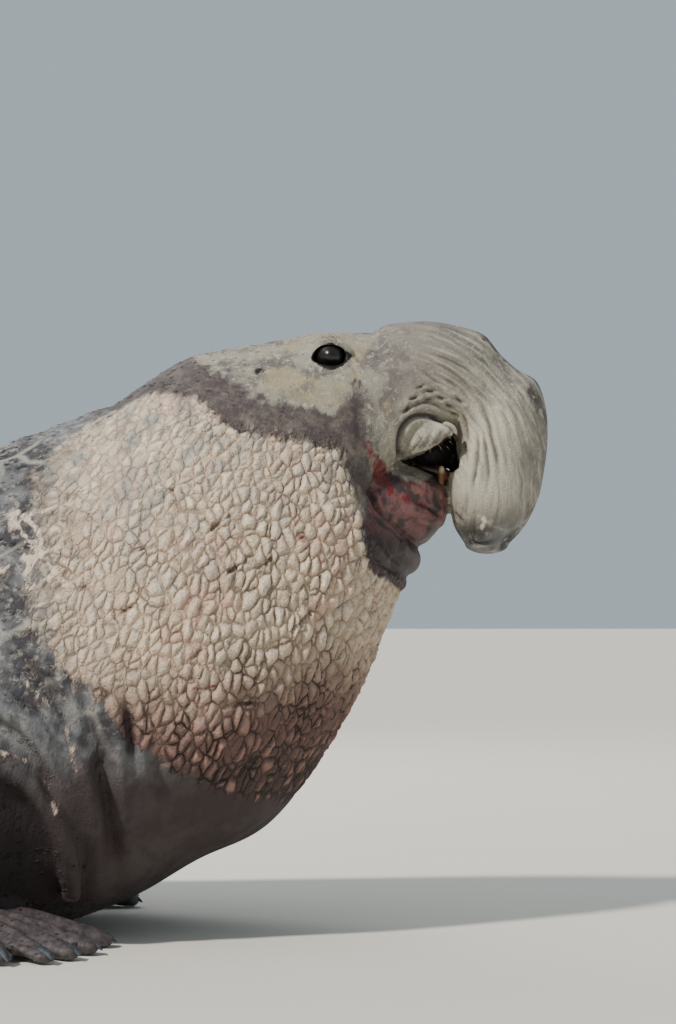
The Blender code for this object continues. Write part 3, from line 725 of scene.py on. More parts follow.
@dataclass(frozen=True)
class Trunk:
    """The trunk from the tail end to the neck, with the folds over the arms."""

    rings: tuple[Ring, ...] = (
        Ring((-1.66, 0.330), (-1.66, 0.130), 0.105, 0.00, 2.0),
        Ring((-1.50, 0.420), (-1.50, 0.060), 0.175, 0.05, 2.1),
        Ring((-1.25, 0.520), (-1.25, -0.020), 0.270, 0.12, 2.2),
        Ring((-0.85, 0.635), (-0.85, -0.040), 0.400, 0.20, 2.3),
        Ring((-0.35, 0.745), (-0.35, -0.050), 0.490, 0.25, 2.4),
        Ring((0.20, 0.825), (0.22, -0.050), 0.545, 0.25, 2.4),
        Ring((0.70, 0.885), (0.78, -0.050), 0.565, 0.22, 2.4),
        Ring((1.00, 0.935), (1.12, -0.040), 0.560, 0.18, 2.35),
        Ring((1.22, 1.010), (1.44, 0.045), 0.540, 0.12, 2.3),
        Ring((1.36, 1.060), (1.62, 0.140), 0.515, 0.10, 2.25),
        Ring((1.47, 1.110), (1.78, 0.225), 0.490, 0.08, 2.2),
        Ring((1.545, 1.165), (1.935, 0.445), 0.415, 0.08, 2.2),
        Ring((1.60, 1.195), (2.045, 0.700), 0.335, 0.08, 2.2),
    )
    rump_dome: float = 0.06
    sides: int = 160
    steps: int = 16
    fold_radius: float = 0.038
    folds: tuple[tuple[Point, ...], ...] = (
        (
            (1.00, -0.500, 0.430),
            (1.13, -0.535, 0.412),
            (1.25, -0.537, 0.370),
            (1.335, -0.512, 0.290),
            (1.375, -0.466, 0.190),
            (1.385, -0.395, 0.105),
        ),
        (
            (1.06, -0.500, 0.545),
            (1.20, -0.537, 0.510),
            (1.31, -0.530, 0.440),
            (1.365, -0.495, 0.345),
            (1.385, -0.450, 0.270),
        ),
    )
    tail: tuple[Point, ...] = (
        (-1.58, 0.0, 0.275),
        (-1.70, 0.0, 0.262),
        (-1.78, 0.0, 0.240),
        (-1.83, 0.0, 0.222),
    )
    tail_widths: tuple[float, ...] = (0.060, 0.045, 0.034, 0.016)
    tail_heights: tuple[float, ...] = (0.030, 0.024, 0.018, 0.009)

    def pieces(self) -> list[Piece]:
        """The closed forms of the trunk, overlapping.

        Returns:
            The closed forms.
        """
        t = np.linspace(0, len(self.rings) - 1, (len(self.rings) - 1) * self.steps + 1)
        grid = ring_grid(self.rings, t, self.sides)[::-1].copy()
        made = [skin_grid("trunk", *domed(grid, (-self.rump_dome, 0, -0.01)))]
        for number, points in enumerate(self.folds, 1):
            count = len(points)
            swell = [math.sin(math.pi * (k + 0.5) / count) for k in range(count)]
            sizes = [self.fold_radius * (0.45 + 0.55 * share) for share in swell]
            made += both_sides(tube(f"arm_fold_{number}", points, sizes, sizes, (0, 0, 1)))
        made.append(tube("tail_form", self.tail, self.tail_widths, self.tail_heights, (0, 1, 0)))
        return made


@dataclass(frozen=True)
class Head:
    """The head, nose and lower jaw, with the rolls of skin under the chin and the mouth cut open."""

    rings: tuple[Ring, ...] = (
        Ring((1.60, 1.195), (2.045, 0.700), 0.335, 0.08, 2.2),
        Ring((1.68, 1.213), (2.030, 0.800), 0.290, 0.12),
        Ring((1.76, 1.226), (2.000, 0.870), 0.258, 0.16),
        Ring((1.86, 1.244), (2.010, 0.920), 0.226, 0.20, 2.3),
        Ring((1.935, 1.2465), (2.030, 0.945), 0.198, 0.24, 2.3),
        Ring((2.00, 1.245), (2.065, 0.968), 0.176, 0.20),
        Ring((2.06, 1.235), (2.105, 0.985), 0.155, 0.10),
        Ring((2.11, 1.190), (2.140, 1.003), 0.130, 0.00),
        Ring((2.14, 1.140), (2.155, 1.030), 0.090, 0.00),
    )
    nose_rings: tuple[Ring, ...] = (
        Ring((1.965, 1.225), (2.020, 1.060), 0.140, 0.00),
        Ring((1.993, 1.255), (2.045, 1.045), 0.156, 0.05),
        Ring((2.030, 1.266), (2.080, 1.040), 0.162, 0.08),
        Ring((2.103, 1.2705), (2.125, 1.040), 0.160, 0.12),
        Ring((2.166, 1.260), (2.150, 1.035), 0.152, 0.16),
        Ring((2.218, 1.242), (2.158, 1.020), 0.142, 0.20),
        Ring((2.253, 1.201), (2.160, 1.008), 0.133, 0.24),
        Ring((2.288, 1.169), (2.159, 0.996), 0.130, 0.28, 2.3),
        Ring((2.330, 1.143), (2.155, 0.982), 0.134, 0.32, 2.4),
        Ring((2.350, 1.085), (2.147, 0.965), 0.139, 0.36, 2.4),
        Ring((2.353, 1.015), (2.139, 0.940), 0.139, 0.36, 2.4),
        Ring((2.346, 0.955), (2.139, 0.908), 0.133, 0.32, 2.4),
        Ring((2.333, 0.893), (2.144, 0.873), 0.124, 0.24, 2.3),
        Ring((2.304, 0.835), (2.152, 0.835), 0.108, 0.12),
        Ring((2.270, 0.797), (2.174, 0.799), 0.078, 0.00),
    )
    nose_tip_drop: float = 0.022
    jaw_rings: tuple[Ring, ...] = (
        Ring((1.930, 0.968), (1.930, 0.800), 0.205, 0.00),
        Ring((1.995, 0.977), (1.990, 0.788), 0.186, 0.00),
        Ring((2.050, 0.973), (2.055, 0.787), 0.156, 0.00),
        Ring((2.088, 0.959), (2.096, 0.800), 0.128, 0.00),
        Ring((2.119, 0.946), (2.126, 0.832), 0.090, 0.00),
    )
    chin_dome: float = 0.020
    jaw_clearance: float = 0.006
    chin_roll: tuple[Point, ...] = (
        (2.050, 0.000, 0.768),
        (2.032, -0.105, 0.784),
        (1.992, -0.180, 0.818),
        (1.955, -0.212, 0.858),
        (1.915, -0.215, 0.905),
    )
    chin_roll_radius: float = 0.037
    throat_roll: tuple[Point, ...] = ((2.022, 0.000, 0.722), (2.010, -0.120, 0.742), (1.960, -0.220, 0.800))
    throat_roll_radius: float = 0.036
    roll_end_share: float = 0.55
    lip_pad: Point = (2.092, -0.118, 1.009)
    lip_pad_size: Point = (0.072, 0.047, 0.040)
    lip_pad_tilt: float = math.radians(-22)
    lip_pad_splay: float = math.radians(-16)
    eye: Point = (1.893, -0.143, 1.183)
    eye_radius: float = 0.031
    lid_mound: Point = (0.052, 0.034, 0.041)
    lid_opening: Point = (0.034, 0.030, 0.0205)
    lid_opening_out: float = 0.028
    ear: Point = (1.750, -0.217, 1.150)
    ear_radius: float = 0.009
    ear_depth: float = 0.030
    nostril: Point = (2.262, -0.046, 0.792)
    nostril_size: Point = (0.011, 0.008, 0.030)
    nostril_lean: float = math.radians(-38)
    mouth_opening: tuple[SidePoint, ...] = (
        (2.040, 0.971),
        (2.103, 0.991),
        (2.150, 1.022),
        (2.156, 1.010),
        (2.156, 0.955),
        (2.119, 0.947),
        (2.088, 0.960),
    )
    mouth_core: float = 0.034
    gum: Point = (2.103, 0.0, 0.994)
    gum_size: Point = (0.066, 0.050, 0.045)

    def roll(self, name: str, points: Sequence[Point], radius: float) -> Piece:
        """A roll of skin right across the throat, thinning towards both ends.

        Args:
            name: name of the object.
            points: the roll's path on the right side, from the middle outward.
            radius: radius in the middle.

        Returns:
            The roll.
        """
        path = [(x, -y, z) for x, y, z in points[:0:-1]] + list(points)
        middle = (len(path) - 1) / 2
        share = [1 - (1 - self.roll_end_share) * (abs(k - middle) / middle) ** 2 for k in range(len(path))]
        sizes = [radius * s for s in share]
        return tube(name, path, sizes, sizes, (0.3, 0.1, 1.0))

    def pieces(self) -> list[Piece]:
        """The closed forms of the head, overlapping.

        Returns:
            The closed forms.
        """
        head = oval_loft("head_form", self.rings, 120, 10, dome=(0.012, 0, -0.006))
        nose = oval_loft("nose_form", self.nose_rings, 120, 8, dome=(0, 0, -self.nose_tip_drop))
        jaw = oval_loft("jaw_form", self.jaw_rings, 96, 8, dome=(self.chin_dome, 0, 0.004))
        chin = self.roll("chin_roll", self.chin_roll, self.chin_roll_radius)
        throat = self.roll("throat_roll", self.throat_roll, self.throat_roll_radius)
        turn = Matrix.Rotation(self.lip_pad_splay, 4, "Z") @ Matrix.Rotation(self.lip_pad_tilt, 4, "Y")
        pad = ellipsoid("lip_pad", self.lip_pad, self.lip_pad_size, turn)
        mound = ellipsoid("lid_mound", self.eye, self.lid_mound)
        boolean(nose, [grown(jaw, self.jaw_clearance)], "DIFFERENCE")
        return [head, nose, jaw, chin, throat, *both_sides(pad), *both_sides(mound)]

    def cutters(self) -> list[Piece]:
        """The mouth, the eye sockets and lid openings, the ear holes and the nostrils.

        Returns:
            The forms to cut away.
        """
        eye = Vector(self.eye)
        socket = ellipsoid("socket", eye, (self.eye_radius,) * 3)
        opening = ellipsoid("lid_opening", eye - Vector((0, self.lid_opening_out, 0)), self.lid_opening)
        ear = ellipsoid("ear_hole", self.ear, (self.ear_radius, self.ear_depth, self.ear_radius))
        lean = Matrix.Rotation(self.nostril_lean, 4, "Y")
        nostril = ellipsoid("nostril", self.nostril, self.nostril_size, lean)
        mouth = prism("mouth_opening", self.mouth_opening, -0.4, -self.mouth_core)
        return [c for piece in (mouth, socket, opening, ear, nostril) for c in both_sides(piece)]

    def gum_piece(self) -> Piece:
        """The gum of the upper jaw, in the middle of the mouth."""
        # The gum carries the near-black painted shade of the mouth's inside.
        return ellipsoid("gum_form", self.gum, self.gum_size)


def web(name: str, root: Vector, tips: Sequence[Vector], reach: float, thick: SidePoint) -> Piece:
    """The fan of skin between digits, as a closed wedge with a scalloped edge.

    Args:
        name: name of the object.
        root: the point that the digits spread from.
        tips: the digits' tips.
        reach: how far out the web goes, as a share of the digits.
        thick: half thickness at the root and at the edge.

    Returns:
        The web.
    """
    fan = []
    for a, b in zip(tips, tips[1:]):
        fan += [a.lerp(b, k / 4).lerp(root, 0.07 * math.sin(math.pi * k / 4)) for k in range(4)]
    fan.append(tips[-1])
    edge = [root + (p - root) * reach for p in fan]
    normal = (tips[0] - root).cross(tips[-1] - root).normalized()
    normal = normal if normal.z > 0 else -normal
    shape = bmesh.new()
    rows = []
    shares = np.linspace(0, 1, 9)
    for share in shares:
        half = thick[0] + (thick[1] - thick[0]) * share
        top, bottom = [], []
        for point in edge:
            place = root.lerp(point, max(share, 0.12)) + normal * 0.006 * math.sin(share * math.pi)
            top.append(shape.verts.new(place + normal * half))
            bottom.append(shape.verts.new(place - normal * half))
        rows.append((top, bottom))
    for (top, bottom), (next_top, next_bottom) in zip(rows, rows[1:]):
        for k in range(len(edge) - 1):
            shape.faces.new((top[k], top[k + 1], next_top[k + 1], next_top[k]))
            shape.faces.new((bottom[k], next_bottom[k], next_bottom[k + 1], bottom[k + 1]))
        for k in (0, -1):
            shape.faces.new((top[k], next_top[k], next_bottom[k], bottom[k]))
    for top, bottom in (rows[0], rows[-1]):
        for k in range(len(edge) - 1):
            shape.faces.new((top[k], top[k + 1], bottom[k + 1], bottom[k]))
    return link_shape(name, shape)


@dataclass(frozen=True)
class ForeFlipper:
    """The right fore limb and its copy on the left: arm, palm and five digits."""

    wrist: Point = (1.12, -0.44, 0.070)
    arm: tuple[Point, ...] = (
        (1.00, -0.30, 0.46),
        (1.05, -0.425, 0.34),
        (1.09, -0.455, 0.20),
        (1.12, -0.44, 0.075),
    )
    arm_widths: tuple[float, ...] = (0.150, 0.150, 0.130, 0.115)
    arm_heights: tuple[float, ...] = (0.100, 0.100, 0.085, 0.062)
    tips: tuple[SidePoint, ...] = (
        (1.452, -0.400),
        (1.436, -0.535),
        (1.405, -0.628),
        (1.362, -0.690),
        (1.285, -0.712),
    )
    radii: tuple[float, ...] = (0.036, 0.031, 0.030, 0.028, 0.027)
    tip_share: float = 0.52
    tip_height: float = 0.016
    web_reach: float = 0.90

    def digit(self, number: int) -> tuple[Vector, Vector, Vector]:
        """Root, knuckle and tip of a digit, counted from 0.

        Args:
            number: the digit, counted from 0.

        Returns:
            The three points.
        """
        x, y = self.tips[number]
        tip = Vector((x, y, self.tip_height))
        root = Vector(self.wrist) + Vector((0, 0, -0.012))
        return root, root.lerp(tip, 0.5) + Vector((0, 0, 0.014)), tip

    def pieces(self) -> list[Piece]:
        """The closed forms of both fore limbs, overlapping.

        Returns:
            The closed forms.
        """
        made = [tube("arm", self.arm, self.arm_widths, self.arm_heights, (1, -0.25, 0), sides=48)]
        for number, radius in enumerate(self.radii):
            path = self.digit(number)
            widths = (radius * 1.6, radius * 1.3, radius * 0.9)
            heights = (radius * 1.4, radius * 1.0, radius * self.tip_share)
            across = (path[2] - path[0]).cross(Vector((0, 0, 1))).normalized()
            made.append(tube(f"fore_digit_{number}", path, widths, heights, tuple(across), steps=12))
        tips = [self.digit(number)[2] for number in range(len(self.tips))]
        made.append(web("palm", Vector(self.wrist), tips, self.web_reach, (0.045, 0.014)))
        return [side for piece in made for side in both_sides(piece)]


@dataclass(frozen=True)
class HindFlipper:
    """The right hind flipper and its copy on the left: ankle, five digits and their web."""

    ankle: Point = (-1.600, -0.115, 0.180)
    axis: Point = (-1.0, -0.42, -0.24)
    spread: Point = (0.30, -0.85, -0.40)
    lengths: tuple[float, ...] = (0.44, 0.37, 0.34, 0.38, 0.46)
    angles: tuple[float, ...] = (-27, -14, 0, 14, 27)
    radii: tuple[float, ...] = (0.030, 0.020, 0.018, 0.020, 0.030)

    def pieces(self) -> list[Piece]:
        """The closed forms of both hind flippers, overlapping.

        Returns:
            The closed forms.
        """
        ankle = Vector(self.ankle)
        axis, spread = Vector(self.axis).normalized(), Vector(self.spread).normalized()
        path = [ankle - axis * 0.16, ankle, ankle + axis * 0.12]
        made = [tube("ankle", path, (0.075, 0.068, 0.060), (0.070, 0.052, 0.034), tuple(spread))]
        tips = []
        for number, (length, angle, radius) in enumerate(zip(self.lengths, self.angles, self.radii)):
            turn = math.radians(angle)
            tip = ankle + (axis * math.cos(turn) + spread * math.sin(turn)) * length
            tip.z = max(tip.z, 0.008)
            tips.append(tip)
            widths, heights = (radius * 1.3, radius, radius * 0.5), (radius, radius * 0.7, radius * 0.35)
            path = [ankle, ankle.lerp(tip, 0.5), tip]
            made.append(tube(f"hind_digit_{number}", path, widths, heights, tuple(spread), steps=12))
        made.append(web("hind_web", ankle, tips, 0.95, (0.020, 0.0055)))
        return [side for piece in made for side in both_sides(piece)]


# The skin


def segment_distance(points: Array, path: Array) -> Array:
    """Distance of each point to a line of straight segments, in two or three dimensions.

    Args:
        points: the points.
        path: the path's points.

    Returns:
        One distance for each point.
    """
    nearest = np.full(len(points), np.inf)
    for a, b in zip(path, path[1:]):
        along = b - a
        share = np.clip((points - a) @ along / max(along @ along, 1e-12), 0, 1)
        away = points - a - share[:, None] * along
        nearest = np.minimum(nearest, np.einsum("ij,ij->i", away, away))
    return np.sqrt(nearest)


def soft_step(value: Array, low: float, high: float) -> Array:
    """A smooth step from 0 at low to 1 at high. low may be the larger."""
    t = np.clip((value - low) / (high - low), 0, 1)
    return t * t * (3 - 2 * t)


def folded(points: Array) -> Array:
    """The points with the left side laid on the right."""
    return points * (1, 0, 1) - np.abs(points) * (0, 1, 0)


@dataclass(frozen=True)
class Stroke:
    """A soft band along a path. Points of two numbers are (x, z), seen from the side."""

    path: tuple[tuple[float, ...], ...]
    width: float
    edge: float
    strength: float = 1.0
    one_side: bool = False

    def distance(self, points: Array) -> Array:
        """Distance of points to the path, far beyond its reach a plain large number.

        Args:
            points: the points.

        Returns:
            One distance for each point.
        """
        path = np.asarray(self.path, float)
        path = spline(path, np.linspace(0, len(path) - 1, (len(path) - 1) * 4 + 1))
        flat = folded(points)
        if path.shape[1] == 2:
            flat = flat[:, (0, 2)]
        reach = 3 * (self.width + self.edge)
        low, high = path.min(axis=0) - reach, path.max(axis=0) + reach
        near = np.all((flat > low) & (flat < high), axis=1)
        if self.one_side:
            near &= points[:, 1] < 0
        found = np.full(len(points), 1e3)
        found[near] = segment_distance(flat[near], path)
        return found

    def weight(self, points: Array) -> Array:
        """Share of the stroke at each point, from 0 to its strength."""
        away = self.distance(points)
        return self.strength * soft_step(away, self.width + self.edge, self.width - self.edge)


@dataclass(frozen=True)
class Patch:
    """A soft-edged area drawn as an outline in the side view, alike on both sides."""

    outline: tuple[SidePoint, ...]
    edge: float
    strength: float = 1.0

    def weight(self, points: Array) -> Array:
        """Share of the patch at each point, from 0 to its strength.

        Args:
            points: the points.

        Returns:
            One share for each point.
        """
        flat = points[:, (0, 2)]
        corners = np.asarray(self.outline, float)
        closed = np.vstack([corners, corners[:1]])
        inside = np.zeros(len(flat), bool)
        for (ax, az), (bx, bz) in zip(closed, closed[1:]):
            crosses = (az > flat[:, 1]) != (bz > flat[:, 1])
            slope = (bx - ax) / (bz - az) if bz != az else 0.0
            inside ^= crosses & (flat[:, 0] < ax + (flat[:, 1] - az) * slope)
        away = segment_distance(flat, closed)
        return self.strength * soft_step(np.where(inside, away, -away), -self.edge, self.edge)


@dataclass(frozen=True)
class Crease:
    """A furrow in the skin along a path, with a low lip on both sides and painted shade along it as dark as
    shade says. A negative depth makes a ridge.
    """

    path: tuple[tuple[float, ...], ...]
    width: float
    depth: float
    lip: float = 0.30
    shade: float = 1.0
    one_side: bool = False
    taper: float = 0.30

    def press(self, points: Array, normals: Array) -> tuple[Array, Array]:
        """The furrow's effect on the skin.

        Args:
            points: the skin's points.
            normals: their normals.

        Returns:
            How far each point moves out along its normal, and how dark the painted shade of the furrow is
            there.
        """
        away = Stroke(self.path, self.width, self.width, one_side=self.one_side).distance(points) / self.width
        path = np.asarray(self.path, float)
        flat = folded(points)
        side = np.ones(len(points))
        if path.shape[1] == 2:
            flat = flat[:, (0, 2)]
            side = soft_step(np.abs(normals[:, 1]), 0.10, 0.35)
        length = np.linalg.norm(np.diff(path, axis=0), axis=1).sum()
        ends = np.minimum(*(np.linalg.norm(flat - end, axis=1) for end in path[[0, -1]]))
        share = np.clip(ends / (self.taper * length), 0.12, 1) * side
        furrow = np.exp(-(away**2))
        lips = self.lip * np.exp(-((away - 1.9) ** 2))
        return -self.depth * (furrow - lips) * share, furrow * share * self.shade


def side_by_side(path: Sequence[SidePoint], step: SidePoint, count: int) -> list[tuple[SidePoint, ...]]:
    """Copies of a path, each a step further on, and each a little longer or shorter than the last.

    Args:
        path: the path's points.
        step: offset from one copy to the next.
        count: how many copies.

    Returns:
        The copies' points.
    """
    made = []
    for number in range(count):
        keep = 0.82 + 0.18 * math.sin(2.4 * number)
        start, shift = np.asarray(path[0]), np.asarray(step) * number
        made.append(tuple(tuple(start + (np.asarray(p) - start) * keep + shift) for p in path))
    return made


@dataclass(frozen=True)
class Stretch:
    """How much finer than the rest the remesh is along one axis: pairs of place and fineness."""

    knots: tuple[SidePoint, ...]

    def table(self) -> tuple[Array, Array]:
        """Places along the axis, and the same places stretched.

        Returns:
            The places, and the places stretched.
        """
        where, fineness = np.array(self.knots).T
        real = np.linspace(where[0], where[-1], 4000)
        dense = np.interp(real, where, fineness)
        steps = np.diff(real) * (dense[1:] + dense[:-1]) / 2
        return real, np.concatenate([[0.0], np.cumsum(steps)])


class Mask(Enum):
    """The painted zones of the skin, each a point attribute of its mesh."""

    SHIELD = "hide_shield"
    RELIEF = "hide_relief"
    SLATE = "hide_slate"
    CREAM = "hide_cream"
    BLOOD = "hide_blood"
    RAW = "hide_raw"
    BARE = "hide_bare"
    # Near black: painted shade in the mouth and in two fold valleys; round the eye partly dark lids, partly
    # painted shade.
    BLACK = "hide_black"
    WORN = "hide_worn"
    HAIR = "hide_hair"
    # Painted shade: the armpit and a dark strip in front of the arm.
    DIM = "hide_dim"


PLACE = "hide_place"
# How dark the painted shade of the creases is at each point.
CREASE_SHADE = "hide_crease"
LAY = "hide_lay"
UNWRAP = "hide_unwrap"
REGION = "hide_region"


def read_points(mesh: Mesh) -> Array:
    """The mesh's points.

    Args:
        mesh: the mesh.

    Returns:
        One row for each point.
    """
    flat = np.empty(len(mesh.vertices) * 3, np.float32)
    mesh.vertices.foreach_get("co", flat)
    return flat.reshape(-1, 3).astype(float)


def write_points(mesh: Mesh, points: Array) -> None:
    """Moves the mesh's points."""
    mesh.vertices.foreach_set("co", points.astype(np.float32).ravel())
    mesh.update()


def read_normals(mesh: Mesh) -> Array:
    """The mesh's point normals.

    Args:
        mesh: the mesh.

    Returns:
        One row for each point.
    """
    flat = np.empty(len(mesh.vertices) * 3, np.float32)
    mesh.vertex_normals.foreach_get("vector", flat)
    return flat.reshape(-1, 3).astype(float)


def store(mesh: Mesh, name: str, values: Array) -> None:
    """Keeps a number or a vector for each point as an attribute of the mesh.

    Args:
        mesh: the mesh.
        name: name of the attribute.
        values: one row for each point.
    """
    wide = values.ndim == 2
    made = mesh.attributes.new(name, "FLOAT_VECTOR" if wide else "FLOAT", "POINT")
    made.data.foreach_set("vector" if wide else "value", values.astype(np.float32).ravel())


def relaxed(points: Array, edges: Array, rounds: int, share: float = 0.5, back: float = -0.53) -> Array:
    """Points smoothed by steps towards the middle of their neighbours and back, which keeps volume.

    Args:
        points: the points.
        edges: pairs of point numbers.
        rounds: how often to smooth.
        share: how far each point moves to the middle of its neighbours.
        back: the same for the second pass, which gives the volume back.

    Returns:
        The smoothed points.
    """
    count = len(points)
    degree = np.bincount(edges.ravel(), minlength=count)[:, None]
    for number in range(rounds * 2):
        near = np.empty_like(points)
        for axis in range(3):
            near[:, axis] = np.bincount(edges[:, 0], points[edges[:, 1], axis], count)
            near[:, axis] += np.bincount(edges[:, 1], points[edges[:, 0], axis], count)
        step = share if number % 2 == 0 else back
        points = points + (near / degree - points) * step
    return points


def apply_tree(modifier: bpy.types.Modifier, tree: Tree, values: dict[str, Any]) -> None:
    """Gives a Geometry Nodes modifier its tree and the values of its named inputs.

    Args:
        modifier: the Geometry Nodes modifier.
        tree: its node tree.
        values: values of the tree's inputs, by name.
    """
    modifier.node_group = tree
    for item in tree.interface.items_tree:
        if item.item_type == "SOCKET" and item.in_out == "INPUT" and item.name in values:
            modifier[item.identifier] = values[item.name]


def new_tree(name: str, inputs: dict[str, str]) -> tuple[Net, Signal, dict[str, Signal]]:
    """A geometry tree with a geometry input and output and other named inputs.

    Args:
        name: name of the tree.
        inputs: the kind of each other input by its name, such as Float or Material.

    Returns:
        The tree as a net, its geometry input, and its other inputs by name.
    """
    tree = bpy.data.node_groups.new(name, "GeometryNodeTree")
    tree.interface.new_socket("Geometry", in_out="INPUT", socket_type="NodeSocketGeometry")
    for label, kind in inputs.items():
        tree.interface.new_socket(label, in_out="INPUT", socket_type="NodeSocket" + kind)
    tree.interface.new_socket("Geometry", in_out="OUTPUT", socket_type="NodeSocketGeometry")
    entry = tree.nodes.new("NodeGroupInput")
    net = Net(tree)
    return net, Signal(net, entry.outputs[0]), {label: Signal(net, entry.outputs[label]) for label in inputs}


def close_tree(net: Net, geometry: Signal, finish: Signal | None = None) -> Tree:
    """Ends the tree with the geometry, in the finish if one is given.

    Args:
        net: the net that the nodes go to.
        geometry: the geometry.
        finish: the material's signal, if any.

    Returns:
        The tree.
    """
    if finish is not None:
        geometry = net.add("GeometryNodeSetMaterial", {}, {"Geometry": geometry, "Material": finish})
    net.node("NodeGroupOutput", {}, {0: geometry})
    return net.tree


def planted(net: Net, cloud: Signal, model: Signal, turn: Signal, size: Signal) -> Signal:
    """A real copy of the model on every point of the cloud.

    Args:
        net: the net that the nodes go to.
        cloud: the points.
        model: what is copied.
        turn: rotation of each copy.
        size: scale of each copy.

    Returns:
        The copies' geometry.
    """
    inputs = {"Points": cloud, "Instance": model, "Rotation": turn, "Scale": net.vector(size, size, size)}
    copies = net.add("GeometryNodeInstanceOnPoints", {}, inputs)
    return net.add("GeometryNodeRealizeInstances", {}, {"Geometry": copies})


def named(net: Net, name: str, kind: str = "FLOAT") -> Signal:
    """A named attribute read in a geometry tree."""
    return net.add("GeometryNodeInputNamedAttribute", {"data_type": kind}, {"Name": name}, "Attribute")


@dataclass(frozen=True)
class Skin:
    """The one skin over the whole body: its remesh, its folds, its relief and its painted zones."""

    trunk: Trunk = Trunk()
    head: Head = Head()
    fore: ForeFlipper = ForeFlipper()
    hind: HindFlipper = HindFlipper()
    cobbles: Cobbles = Cobbles()
    voxel: float = 0.005
    stretches: tuple[Stretch, ...] = (
        Stretch(((-2.3, 0.45), (0.6, 0.5), (1.15, 1.0), (1.6, 1.1), (1.82, 1.7), (2.6, 1.7))),
        Stretch(((-1.0, 1.1), (-0.05, 1.1), (0.08, 0.8), (1.0, 0.8))),
        Stretch(((-0.3, 0.9), (0.66, 1.0), (0.84, 1.7), (1.6, 1.7))),
    )
    smoothing: int = 3
    coat_depth: float = 0.003
    relief_depth: float = 0.0095
    fine_depth: float = 0.0014
    lump_depth: float = 0.010
    most_triangles: int = 192_000
    nodes: tuple[str, ...] = (
        "hips",
        "loins",
        "mid_trunk",
        "shoulders",
        "neck_shield",
        "head",
        "proboscis",
        "lower_jaw",
        "fore_flipper_right",
        "fore_flipper_left",
        "tail",
        "hind_flipper_right",
        "hind_flipper_left",
    )

    def form(self) -> Piece:
        """The whole body as one closed mesh, remeshed with small cells where the detail is.

        Returns:
            The body.
        """
        first, *others = [*self.trunk.pieces(), *self.head.pieces(), *self.fore.pieces(), *self.hind.pieces()]
        body = boolean(first, others, "UNION")
        floor = box("under_floor", (-8, -8, -1), (8, 8, 0))
        boolean(body, [floor, *self.head.cutters()], "DIFFERENCE")
        boolean(body, [self.head.gum_piece()], "UNION")
        points = read_points(body.data)
        tables = [stretch.table() for stretch in self.stretches]
        for axis, (real, stretched) in enumerate(tables):
            points[:, axis] = np.interp(points[:, axis], real, stretched)
        write_points(body.data, points)
        remesh = body.modifiers.new("remesh", "REMESH")
        remesh.mode = "VOXEL"
        remesh.voxel_size = self.voxel * 1
        body.data = plain_copy(body)
        points = read_points(body.data)
        for axis, (real, stretched) in enumerate(tables):
            points[:, axis] = np.interp(points[:, axis], stretched, real)
        edges = np.empty(len(body.data.edges) * 2, np.int32)
        body.data.edges.foreach_get("vertices", edges)
        points = relaxed(points, edges.reshape(-1, 2), self.smoothing)
        write_points(body.data, points)
        points = points - read_normals(body.data) * self.coat_depth
        points[:, 2] = np.maximum(points[:, 2], 0.0)
        write_points(body.data, points)
        body.name = "seal_skin"
        log.info("skin form: %d points", len(points))
        return body

    def fold(self, body: Piece) -> None:
        """Presses the creases into the skin and keeps how dark their painted shade is at each point.

        Args:
            body: the skin.
        """
        points, normals = read_points(body.data), read_normals(body.data)
        lift, shade = np.zeros(len(points)), np.zeros(len(points))
        for crease in CREASES:
            moved, dark = crease.press(points, normals)
            lift += moved
            shade = np.maximum(shade, dark)
        moved = points + normals * lift[:, None]
        moved[:, 2] = np.where(points[:, 2] < 0.004, points[:, 2], np.maximum(moved[:, 2], 0.001))
        write_points(body.data, moved)
        store(body.data, CREASE_SHADE, shade)

    def paint(self, body: Piece) -> None:
        """Stores the painted zones.

        Args:
            body: the skin.
        """
        points = read_points(body.data)
        for mask, marks in ZONES.items():
            total = np.zeros(len(points))
            for mark in marks:
                weight = mark.weight(points)
                total = np.maximum(total, weight) if mark.strength > 0 else total * (1 + weight)
            store(body.data, mask.value, total)

    def relief_tree(self) -> Tree:
        """Geometry nodes that raise the cobbles and keep where each point lay before.

        Returns:
            The tree.
        """
        inputs = {"Relief": "Float", "Fine": "Float", "Lump": "Float"}
        net, geometry, sizes = new_tree("cobbled_relief", inputs)
        place = net.add("GeometryNodeInputPosition")
        keep = {"data_type": "FLOAT_VECTOR", "domain": "POINT"}
        inputs = {"Geometry": geometry, "Name": PLACE, "Value": place}
        geometry = net.add("GeometryNodeStoreNamedAttribute", keep, inputs)
        height = self.cobbles.height(net, place) - 0.6
        fine = self.cobbles.fine_height(net, place) - 0.5
        lump = net.noise(place, 0.075, 2.0) - 0.5
        lift = height * sizes["Relief"] + fine * sizes["Fine"] + lump * sizes["Lump"]
        lift = lift * named(net, Mask.RELIEF.value)
        up = net.parts(place)[2].step(0.0, 0.03)
        offset = net.add("GeometryNodeInputNormal") * (lift * up)
        geometry = net.add("GeometryNodeSetPosition", {}, {"Geometry": geometry, "Offset": offset})
        return close_tree(net, geometry)

    def build(self) -> Piece:
        """The finished skin, still without its material.

        Returns:
            The skin.
        """
        body = self.form()
        self.paint(body)
        self.fold(body)
        relief = body.modifiers.new("relief", "NODES")
        sizes = {"Relief": self.relief_depth, "Fine": self.fine_depth, "Lump": self.lump_depth}
        apply_tree(relief, self.relief_tree(), sizes)
        thin = body.modifiers.new("thin", "DECIMATE")
        thin.ratio = min(1.0, self.most_triangles / (2 * len(body.data.polygons)))
        body.data = plain_copy(body)
        self.comb(body)
        return body

